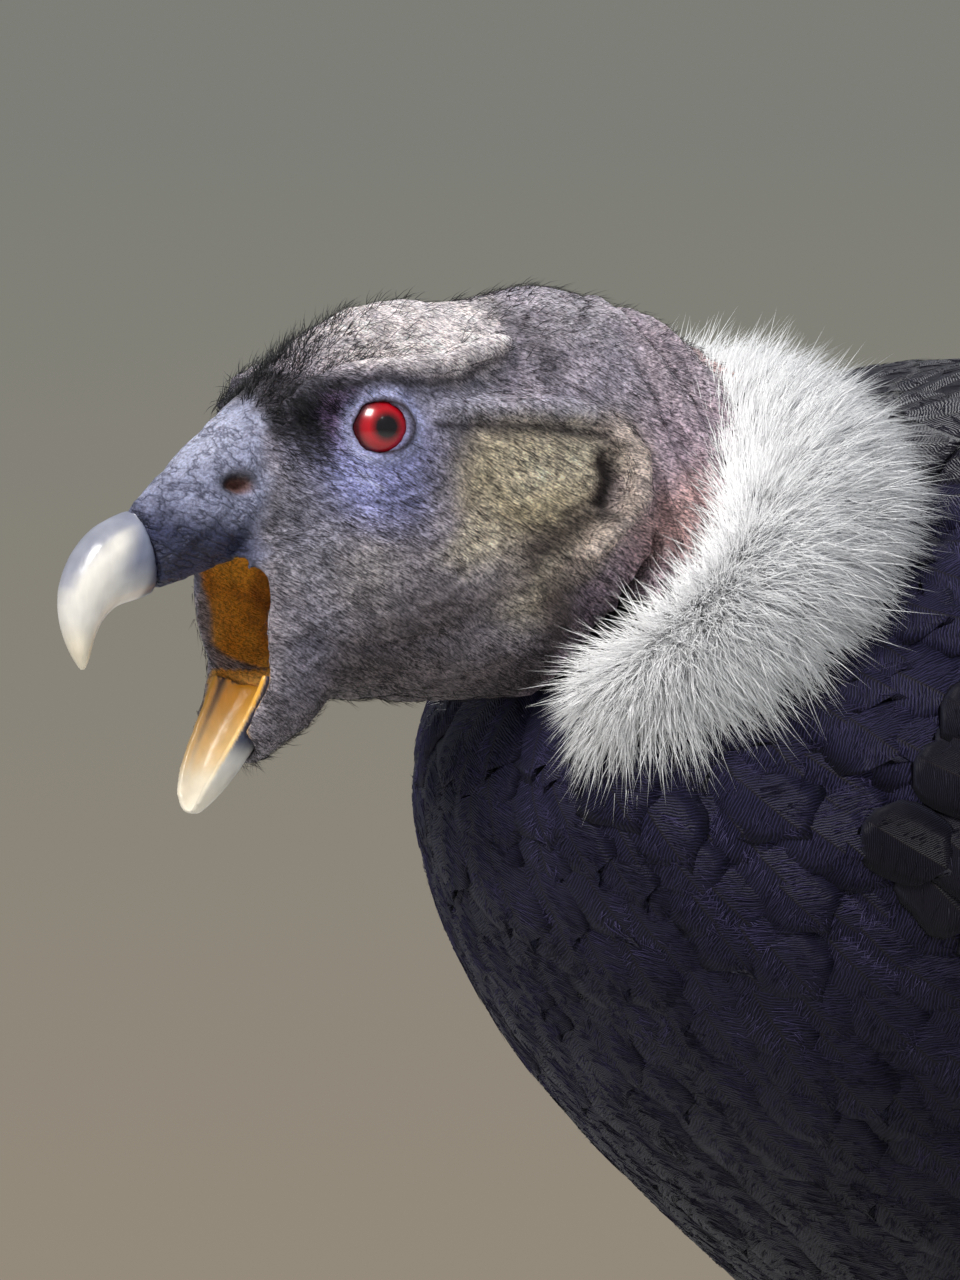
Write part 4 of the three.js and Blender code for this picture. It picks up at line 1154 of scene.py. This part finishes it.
def wing_place(side):
    """The folded wing's shell: u runs back along the wing, and the angle down it from 0 to 100."""

    def at(u, angle):
        v = angle / 100
        share = (WING_FROM + 0.07 * v) * (1 - u) + WING_TO * u
        low = WING_TOP + (WING_LOW - WING_TOP) * v
        along_swell = np.sin(np.pi * np.clip(0.08 + 0.92 * u, 0.02, 1)) ** 0.5
        swell = along_swell * np.abs(np.sin(np.pi * np.clip(v, 0.01, 0.99))) ** 0.6
        swell = swell * (0.12 + 0.88 * smooth_step(-0.06, 0.22, u))
        p = torso_place(share, low, 1.5 + WING_THICK * swell)
        return p * np.array([side, 1, 1])

    at.middle = lambda p, share: p * np.array([0, 1, 1]) + np.array([side * 20, 0, 0])
    return at


def flight_tier(name, side, tier, material):
    """tier: count, roots, tips, bow, across, width, and how blunt the tips are."""
    count, roots, tips, bow, across, width, blunt = tier
    rows, cols = 14, 4
    flip = np.array([side, 1, 1])
    share = np.linspace(0, 1, count)[:, None]
    root = (np.array(roots[0]) * (1 - share) + np.array(roots[1]) * share) * flip
    tip = (np.array(tips[0]) * (1 - share) + np.array(tips[1]) * share) * flip
    tip = tip + rng.normal(0, 1.5, tip.shape)
    flat = (np.array(across[0]) * (1 - share) + np.array(across[1]) * share) * flip
    mid = (root + tip) / 2 + np.array(bow) * flip
    t = np.linspace(0, 1, rows + 1)[None, :, None]
    line = (1 - t) ** 2 * root[:, None] + 2 * t * (1 - t) * mid[:, None] + t * t * tip[:, None]
    along = unit(np.gradient(line, axis=1))
    flat = np.broadcast_to(flat[:, None], line.shape)
    flat = unit(flat - along * (flat * along).sum(-1, keepdims=True))
    normal = (np.cross(along, flat) * -side)[:, :, None]
    v = np.linspace(-1, 1, cols + 1)[None, None, :, None]
    half = width / 2 * vane_outline(t, blunt, FLIGHT_QUILL)[..., None]
    warp = value_noise((line * 0.03).reshape(-1, 3), 1.0, 41).reshape(count, rows + 1, 1, 1)
    camber = 2.2 * (1 - v * v) + 0.7 * warp
    top = line[:, :, None] + flat[:, :, None] * v * half + normal * camber
    place = np.stack([share[:, 0] * 0.9, np.full(count, 0.5)], -1)
    obj = vane_piece(name, top, normal, FLIGHT_THICK, (v[..., 0] * side + 1) / 2, place, material)
    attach(obj, "root")


SHINGLE = ([-0.45, 0.72, 0.63], [-0.45, 0.72, 0.63])
TIERS = {
    "primaries": (9, ([88, 128, 452], [66, 182, 436]), ([74, 372, 292], [40, 520, 262]), [16, 10, 26],
                  ([0.75, 0.3, 0.6], [0.9, 0.15, 0.4]), 38, 0.8),
    "secondaries": (15, ([124, -58, 470], [104, 122, 476]), ([133, 62, 330], [74, 352, 322]), [20, 0, 8],
                    SHINGLE, 44, 0.86),
    "greater_coverts": (14, ([119, -60, 500], [98, 106, 506]), ([144, 6, 412], [108, 232, 428]), [9, 0, 4],
                        SHINGLE, 38, 0.8),
    "tertials": (7, ([80, 56, 524], [42, 90, 538]), ([86, 300, 392], [24, 318, 398]), [5, 10, 26],
                 ([0.8, 0, -0.6], [0.98, 0, -0.2]), 42, 0.8),
}

for side, name in ((1, "left"), (-1, "right")):
    surface = wing_place(side)
    u = np.linspace(0.06, 1, 25)
    v = np.linspace(3, 97, 17)
    grid_u, grid_v = np.meshgrid(u, v, indexing="ij")
    grid = surface(grid_u, grid_v)
    index = np.arange(grid_u.size).reshape(grid_u.shape)
    quads = np.stack([index[:-1, :-1], index[:-1, 1:], index[1:, 1:], index[1:, :-1]], -1).reshape(-1, 4)
    shell = mesh_object("wing_under_" + name, body_to_world(grid.reshape(-1, 3)), quads, under_material)
    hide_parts("wing_" + name)
    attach(shell, "root")
    roots = shingle_roots(surface, -0.04, 0.80, 0, 98, lambda s: 11 + 16 * s, lambda s: 12 + 12 * s)
    reach = 26 + 34 * np.maximum(roots[:, 0], 0) + rng.normal(0, 1.5, len(roots))
    feather_coat("coverts_" + name, surface, roots, reach, reach * 0.72, body_material,
                 rows=7, lift=1.8, barbs=24, barb_material=body_barbs)
    for tier_name, tier in TIERS.items():
        pale = tier_name in ("secondaries", "greater_coverts")
        flight_tier(tier_name + "_" + name, side, tier, panel_material if pale else flight_material)

# Tail
# Twelve long flight feathers in a closed fan, rooted under the rump. The middle pair lies on top, and each of
# the others is tucked a little lower.
rows, cols, count = 14, 4, 12
TAIL_HALF_WIDTH = 23
TAIL_BLUNT = 0.84
t = np.linspace(0, 1, rows + 1)[None, :, None]
k = np.arange(count) - (count - 1) / 2
root = np.stack([k * 4, np.full(count, 226.0), 402 - 1.5 * np.abs(k)], -1)
tip = np.stack([k * 13, 540 - 6 * np.abs(k), 242 - 6 * np.abs(k)], -1)
mid = (root + tip) / 2 + np.array([0, 4, 14])
line = (1 - t) ** 2 * root[:, None] + 2 * t * (1 - t) * mid[:, None] + t * t * tip[:, None]
v = np.linspace(-1, 1, cols + 1)[None, None, :, None]
flat = np.stack([np.ones(count), np.zeros(count), -0.06 * np.sign(k)], -1)[:, None, None]
half = TAIL_HALF_WIDTH * vane_outline(t, TAIL_BLUNT, FLIGHT_QUILL)[..., None]
up = np.array([0, 0.45, 0.89])
top = line[:, :, None] + flat * v * half + up * (1.8 * (1 - v * v))
place = np.stack([np.linspace(0.05, 0.95, count), np.full(count, 0.5)], -1)
tail = vane_piece("tail_feathers", top, up, FLIGHT_THICK, (v[..., 0] + 1) / 2, place, flight_material)
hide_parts("tail")
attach(tail, "root")

# Collar
# A wreath of down: a plain core, and plumes of fine barbs that stand out of it and lie back over the chest.
# Places are [back, up]. OPEN is how far the two ends stop short of the throat, in degrees.
COLLAR_NAPE = (-181, 596)
COLLAR_THROAT = (-232, 525)
COLLAR_WIDE = 56
COLLAR_TUBE = 30
COLLAR_END = (0.62, 0.42)
COLLAR_TOP = 0.88
COLLAR_OPEN = (26, 40)


def collar_line(share):
    angle = np.radians(-90 + COLLAR_OPEN[0] + (360 - COLLAR_OPEN[0] - COLLAR_OPEN[1]) * share)
    low = (1 - np.sin(angle)) / 2
    hang = smooth_step(0.80, 1.0, share)
    return np.stack([
        COLLAR_WIDE * np.cos(angle) + 7 * hang,
        COLLAR_NAPE[0] + (COLLAR_THROAT[0] - COLLAR_NAPE[0]) * low ** 1.5,
        COLLAR_NAPE[1] + (COLLAR_THROAT[1] - COLLAR_NAPE[1]) * low - 8 * hang,
    ], -1)


def collar_tube(share):
    rise = np.sin(np.pi * np.clip(share, 0, 1)) ** 0.5
    dip = (1 - COLLAR_TOP) * np.exp(-(((share - 0.5) / 0.16) ** 2))
    end = COLLAR_END[0] * (1 - share) + COLLAR_END[1] * share
    return COLLAR_TUBE * (end + (1 - end) * rise - dip) * (1 - 0.35 * smooth_step(0.80, 0.96, share))


COLLAR_MIDDLE = np.array([0, *(np.array(COLLAR_NAPE) + np.array(COLLAR_THROAT)) / 2])


def collar_frame(share):
    """The line's point, its direction, and the outward and backward directions square to it."""
    at = collar_line(share)
    along = unit(collar_line(share + 0.005) - collar_line(share - 0.005))
    out = at - COLLAR_MIDDLE
    out = unit(out - along * (out * along).sum(-1, keepdims=True))
    back = np.cross(along, out)
    back *= np.sign(back[..., 1:2])
    return at, along, out, back


down_material = new_material(
    "collar down", (0.97, 0.97, 0.985), 0.9, Subsurface_Weight=0.3, Subsurface_Radius=(0.006, 0.006, 0.006),
    Specular_IOR_Level=0.1
)
CORE_RINGS = 49
CORE_SIDES = 16
CORE_SHARE = 0.70
core_share = np.linspace(0, 1, CORE_RINGS)
core_turn = np.linspace(0, 2 * np.pi, CORE_SIDES + 1)[None, :-1, None]
at, along, out, back = collar_frame(core_share)
ends = np.sqrt(np.clip(1 - (2 * core_share - 1) ** 24, 0.05, 1))
ring = (collar_tube(core_share) * CORE_SHARE * ends)[:, None, None]
core = at[:, None] + ring * (np.cos(core_turn) * out[:, None] + np.sin(core_turn) * back[:, None])
index = np.arange(CORE_RINGS * CORE_SIDES).reshape(CORE_RINGS, CORE_SIDES)
turned = np.roll(index, -1, axis=1)
quads = np.stack([index[:-1], index[1:], turned[1:], turned[:-1]], -1).reshape(-1, 4)
triangles = np.concatenate([quads[:, [0, 1, 2]], quads[:, [0, 2, 3]]])
pole = np.full(CORE_SIDES, index.size)
caps = [np.stack([index[0], turned[0], pole], -1), np.stack([turned[-1], index[-1], pole + 1], -1)]
core = np.concatenate([core.reshape(-1, 3), at[:1], at[-1:]])
collar = mesh_object("collar_core", body_to_world(core), np.concatenate([triangles, *caps]), down_material)
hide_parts("collar")
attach(collar, "root")

# Plumes root all round the core but on its inner side, from one turn about the tube to the other, in radians.
TURN_FROM = -2.7
TURN_TO = 2.3
DOWN_PIECES = 5
DOWN_RADIUS = 0.17
for part in range(DOWN_PIECES):
    plumes = 1150
    barbs = 12
    share = rng.uniform(0, 1, plumes)
    turn = rng.uniform(TURN_FROM, TURN_TO, plumes)
    at, along, out, back = collar_frame(share)
    tube = collar_tube(share)[:, None]
    way = out * np.cos(turn)[:, None] + back * np.sin(turn)[:, None]
    lie = -out * np.sin(turn)[:, None] + back * np.cos(turn)[:, None]
    # At both ends of the collar the down turns outwards past the end.
    past = along * (0.4 * smooth_step(0.90, 1.0, share) - smooth_step(0.10, 0.0, share))[:, None]
    wild = rng.uniform(0, 1, (plumes, 1)) ** 3
    ahead = way * (0.42 + 0.45 * wild) + lie * (0.95 - 0.3 * wild) + past * 0.9
    ahead = unit(ahead + along * rng.normal(0, 0.18, (plumes, 1)))
    root = np.repeat(at + way * tube * 0.60, barbs, 0) + rng.normal(0, 1.3, (plumes * barbs, 3))
    spread = unit(np.repeat(ahead, barbs, 0) + rng.normal(0, 0.17, (plumes * barbs, 3)))
    bend = np.repeat(lie * 0.45 - way * 0.2, barbs, 0) + rng.normal(0, 0.22, (plumes * barbs, 3))
    low_end = smooth_step(0.30, 0.08, share)
    size = tube[:, 0] * (0.52 + 0.10 * wild[:, 0] + 0.12 * low_end)
    length = np.repeat(size, barbs) * rng.uniform(0.55, 1.15, plumes * barbs)
    places = np.repeat(np.stack([share, (turn - TURN_FROM) / (TURN_TO - TURN_FROM)], -1), barbs, 0)
    strands("collar_down_" + str(part + 1), root, spread, bend, length, DOWN_RADIUS, places, down_material)

# Bristles and hairs
# Black bristles stand on forehead, lore and crown, and fine short hairs lie back and down over face and neck.
# All are rooted on the skin's own surface.
bristle_material = new_material("bristles", (0.006, 0.006, 0.008), 0.5)
hair_material = new_material("face hairs", (0.035, 0.030, 0.034), 0.6, Specular_IOR_Level=0.2)
skin_at = points_of(skin)
skin_points = world_to_head(skin_at)
skin_normals = normals_of(skin)
side, forward, up = skin_points.T
angle = np.arctan2(side, up + 5)
skin_places = np.stack([(angle + np.pi) / (2 * np.pi), np.clip((forward + 140) / 220, 0, 1)], -1)
head_back = -np.array(head_forward)
head_down = np.array([0.0, 0.0, -1.0])


def skin_strands(name, weight, count, lengths, radius, lean, stray, material, segments):
    """Strands rooted on the skin where weight is high. lean is how far they lie down along the coat."""
    picked = rng.choice(len(weight), count, p=weight / weight.sum())
    root = (skin_at[picked] - BODY_AT) / MM + rng.normal(0, 0.3, (count, 3))
    normal = skin_normals[picked]
    back_way = unit(head_back * 0.9 + head_down * np.where(up[picked] > 12, -0.1, 0.5)[:, None])
    back_way = unit(back_way - normal * (back_way * normal).sum(-1, keepdims=True))
    way = unit(normal * (1 - lean) + back_way * lean + rng.normal(0, stray, root.shape))
    bend = back_way * 0.5 - normal * 0.35
    length = rng.uniform(lengths[0], lengths[1], count)
    strands(name, root, way, bend, length, radius, skin_places[picked], material, segments)


not_mouth = 1 - inside_mouth
weight = not_mouth * (
    1.0 * smooth_step(8, 18, forward) * (1 - smooth_step(24, 29, forward)) * smooth_step(-14, -4, up)
    + 0.45 * smooth_step(-10, 14, forward) * (1 - smooth_step(26, 30, forward)) * smooth_step(12, 18, up)
    + 0.05 * smooth_step(-70, -20, forward) * (1 - smooth_step(26, 30, forward)) * smooth_step(14, 22, up)
    + 0.015 * (1 - smooth_step(20, 26, forward)) * smooth_step(-66, -50, forward)
)
skin_strands("bristles", weight, 2600, (2.2, 6.0), 0.09, 0.5, 0.22, bristle_material, 2)
eye_ring = np.hypot(forward, up)
weight = not_mouth * (1 - smooth_step(24, 27, forward + 0.1 * up)) * smooth_step(8, 12, eye_ring)
weight = weight * (0.5 + 0.5 * smooth_step(-0.2, 0.3, value_noise(skin_points, 0.12, 51)))
bald_crown = smooth_step(12, 16, up) * smooth_step(-34, -26, forward) * (1 - smooth_step(0, 18, forward))
weight = weight * (1 - 0.75 * bald_crown)
hairs = 15000
for part in range(2):
    skin_strands("face_hairs_" + str(part + 1), weight, hairs, (1.8, 4.4), 0.07, 0.80, 0.16, hair_material, 1)

# Legs and feet
# Bare grey legs of horny skin. They are the CAD solids remeshed and smoothed, with small scales as bump and
# a darker line between them.
leg_material = new_material("leg scales", (0.16, 0.15, 0.155), 0.55)
shade = Shade(leg_material)
place = shade.node("ShaderNodeTexCoord").outputs["Object"]
scales = shade.node("ShaderNodeTexVoronoi", feature="DISTANCE_TO_EDGE")
scales.inputs["Scale"].default_value = 230
shade.link(place, scales.inputs["Vector"])
edge = shade.ramp(scales.outputs[0], [(0.0, (0, 0, 0)), (0.18, (1, 1, 1))])
tone = shade.ramp(shade.noise(90, 4), [(0.3, (0.10, 0.095, 0.10)), (0.7, (0.24, 0.225, 0.225))])
scaled = shade.mix(shade.math("MULTIPLY", edge, 0.6), (0.06, 0.055, 0.06), tone)
shade.link(scaled, shade.shader.inputs["Base Color"])
shade.bump(edge, 0.6, 0.0008)
for name in ("left", "right"):
    leg = joined_copy("leg_" + name, ["shank_" + name, "foot_" + name])
    apply_modifier(leg, "REMESH", mode="VOXEL", voxel_size=2.0 * MM)
    apply_modifier(leg, "SMOOTH", factor=0.5, iterations=4)
    shade_smooth(leg)
    leg.data.materials.append(leg_material)
    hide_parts("shank_" + name, "foot_" + name)
    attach(leg, "root")

# Claws
# Eight short blunt claws of dark polished horn, one at each toe's end. They are the CAD solids subdivided.
claw_material = new_material("claws", (0.03, 0.028, 0.03), 0.3)
for name in ("left", "right"):
    for toe in ("inner", "middle", "outer", "hind"):
        node = "claw_" + toe + "_" + name
        claw = joined_copy(node + "_horn", [node])
        apply_modifier(claw, "SUBSURF", levels=2)
        shade_smooth(claw)
        claw.data.materials.append(claw_material)
        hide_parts(node)
        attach(claw, "root")

# Floor
# A wide, plain pale disc that she stands on.
deselect()
bpy.ops.mesh.primitive_circle_add(vertices=96, radius=6, fill_type="NGON", location=(0, 0, 0))
floor = bpy.context.active_object
floor.name = "floor"
floor.data.materials.append(new_material("floor", (0.62, 0.61, 0.58), 0.9))

# Light
# A pale room, a large soft key from her left front and above, and a weaker fill and rim.
world = bpy.data.worlds.new("studio")
bpy.context.scene.world = world
world.use_nodes = True
sky = world.node_tree
background = sky.nodes["Background"]
background.inputs[0].default_value = (0.80, 0.84, 0.90, 1)
background.inputs[1].default_value = 0.30
seen = sky.nodes.new("ShaderNodeBackground")
seen.inputs[1].default_value = 1.0
direction = sky.nodes.new("ShaderNodeTexCoord")
split = sky.nodes.new("ShaderNodeSeparateXYZ")
height = sky.nodes.new("ShaderNodeMapRange")
height.inputs["From Min"].default_value = -0.04
height.inputs["From Max"].default_value = 0.03
backdrop = sky.nodes.new("ShaderNodeMix")
backdrop.data_type = "RGBA"
backdrop.inputs[6].default_value = (0.30, 0.255, 0.20, 1)
backdrop.inputs[7].default_value = (0.205, 0.21, 0.185, 1)
sky.links.new(direction.outputs["Generated"], split.inputs[0])
sky.links.new(split.outputs[2], height.inputs[0])
sky.links.new(height.outputs[0], backdrop.inputs[0])
sky.links.new(backdrop.outputs[2], seen.inputs[0])
ray = sky.nodes.new("ShaderNodeLightPath")
choose = sky.nodes.new("ShaderNodeMixShader")
sky.links.new(ray.outputs["Is Camera Ray"], choose.inputs[0])
sky.links.new(background.outputs[0], choose.inputs[1])
sky.links.new(seen.outputs[0], choose.inputs[2])
sky.links.new(choose.outputs[0], sky.nodes["World Output"].inputs[0])

CAMERA_AZIMUTH = 53
azimuth = math.radians(CAMERA_AZIMUTH)
camera_way = Vector((math.sin(azimuth), -math.cos(azimuth), 0))
camera_right = Vector((math.cos(azimuth), math.sin(azimuth), 0))


def area_light(name, right, towards, height, size, power, colour=(1, 1, 1)):
    """A square light aimed at the head, placed to the camera's right, towards it, and up, in metres."""
    deselect()
    at = head_at + camera_right * right + camera_way * towards + Vector((0, 0, height))
    bpy.ops.object.light_add(type="AREA", location=at)
    light = bpy.context.active_object
    light.name = name
    light.data.size = size
    light.data.energy = power
    light.data.color = colour
    light.rotation_euler = (at - head_at).to_track_quat("Z", "Y").to_euler()
    return light


area_light("key", -0.9, 1.2, 1.5, 0.8, 54, (1.0, 0.98, 0.95))
fill = area_light("fill", 1.2, 1.4, 0.2, 1.2, 5, (0.9, 0.95, 1.0))
fill.visible_glossy = False
area_light("rim", 0.6, -1.4, 1.4, 0.8, 20)
area_light("eye glint", 0.3, 1.1, 0.62, 0.12, 0.25)

# Camera
# The photo's framing: the picture's middle lies 24 mm right of and 50 mm below her left eye.
DISTANCE = 4.0
FRAME_HEIGHT = 0.3008
SENSOR = 36
camera = bpy.data.objects.new("camera", bpy.data.cameras.new("camera"))
bpy.context.scene.collection.objects.link(camera)
camera_target = eye_left_at + camera_right * 0.02397 + Vector((0, 0, -0.05006))
camera.location = camera_target + camera_way * DISTANCE
camera.rotation_euler = camera_way.to_track_quat("Z", "Y").to_euler()
camera.data.sensor_width = SENSOR
camera.data.lens = SENSOR * DISTANCE / FRAME_HEIGHT
camera.data.clip_end = 100
bpy.context.scene.camera = camera
bpy.context.scene.view_settings.view_transform = "Standard"
bpy.context.scene.view_settings.look = "None"
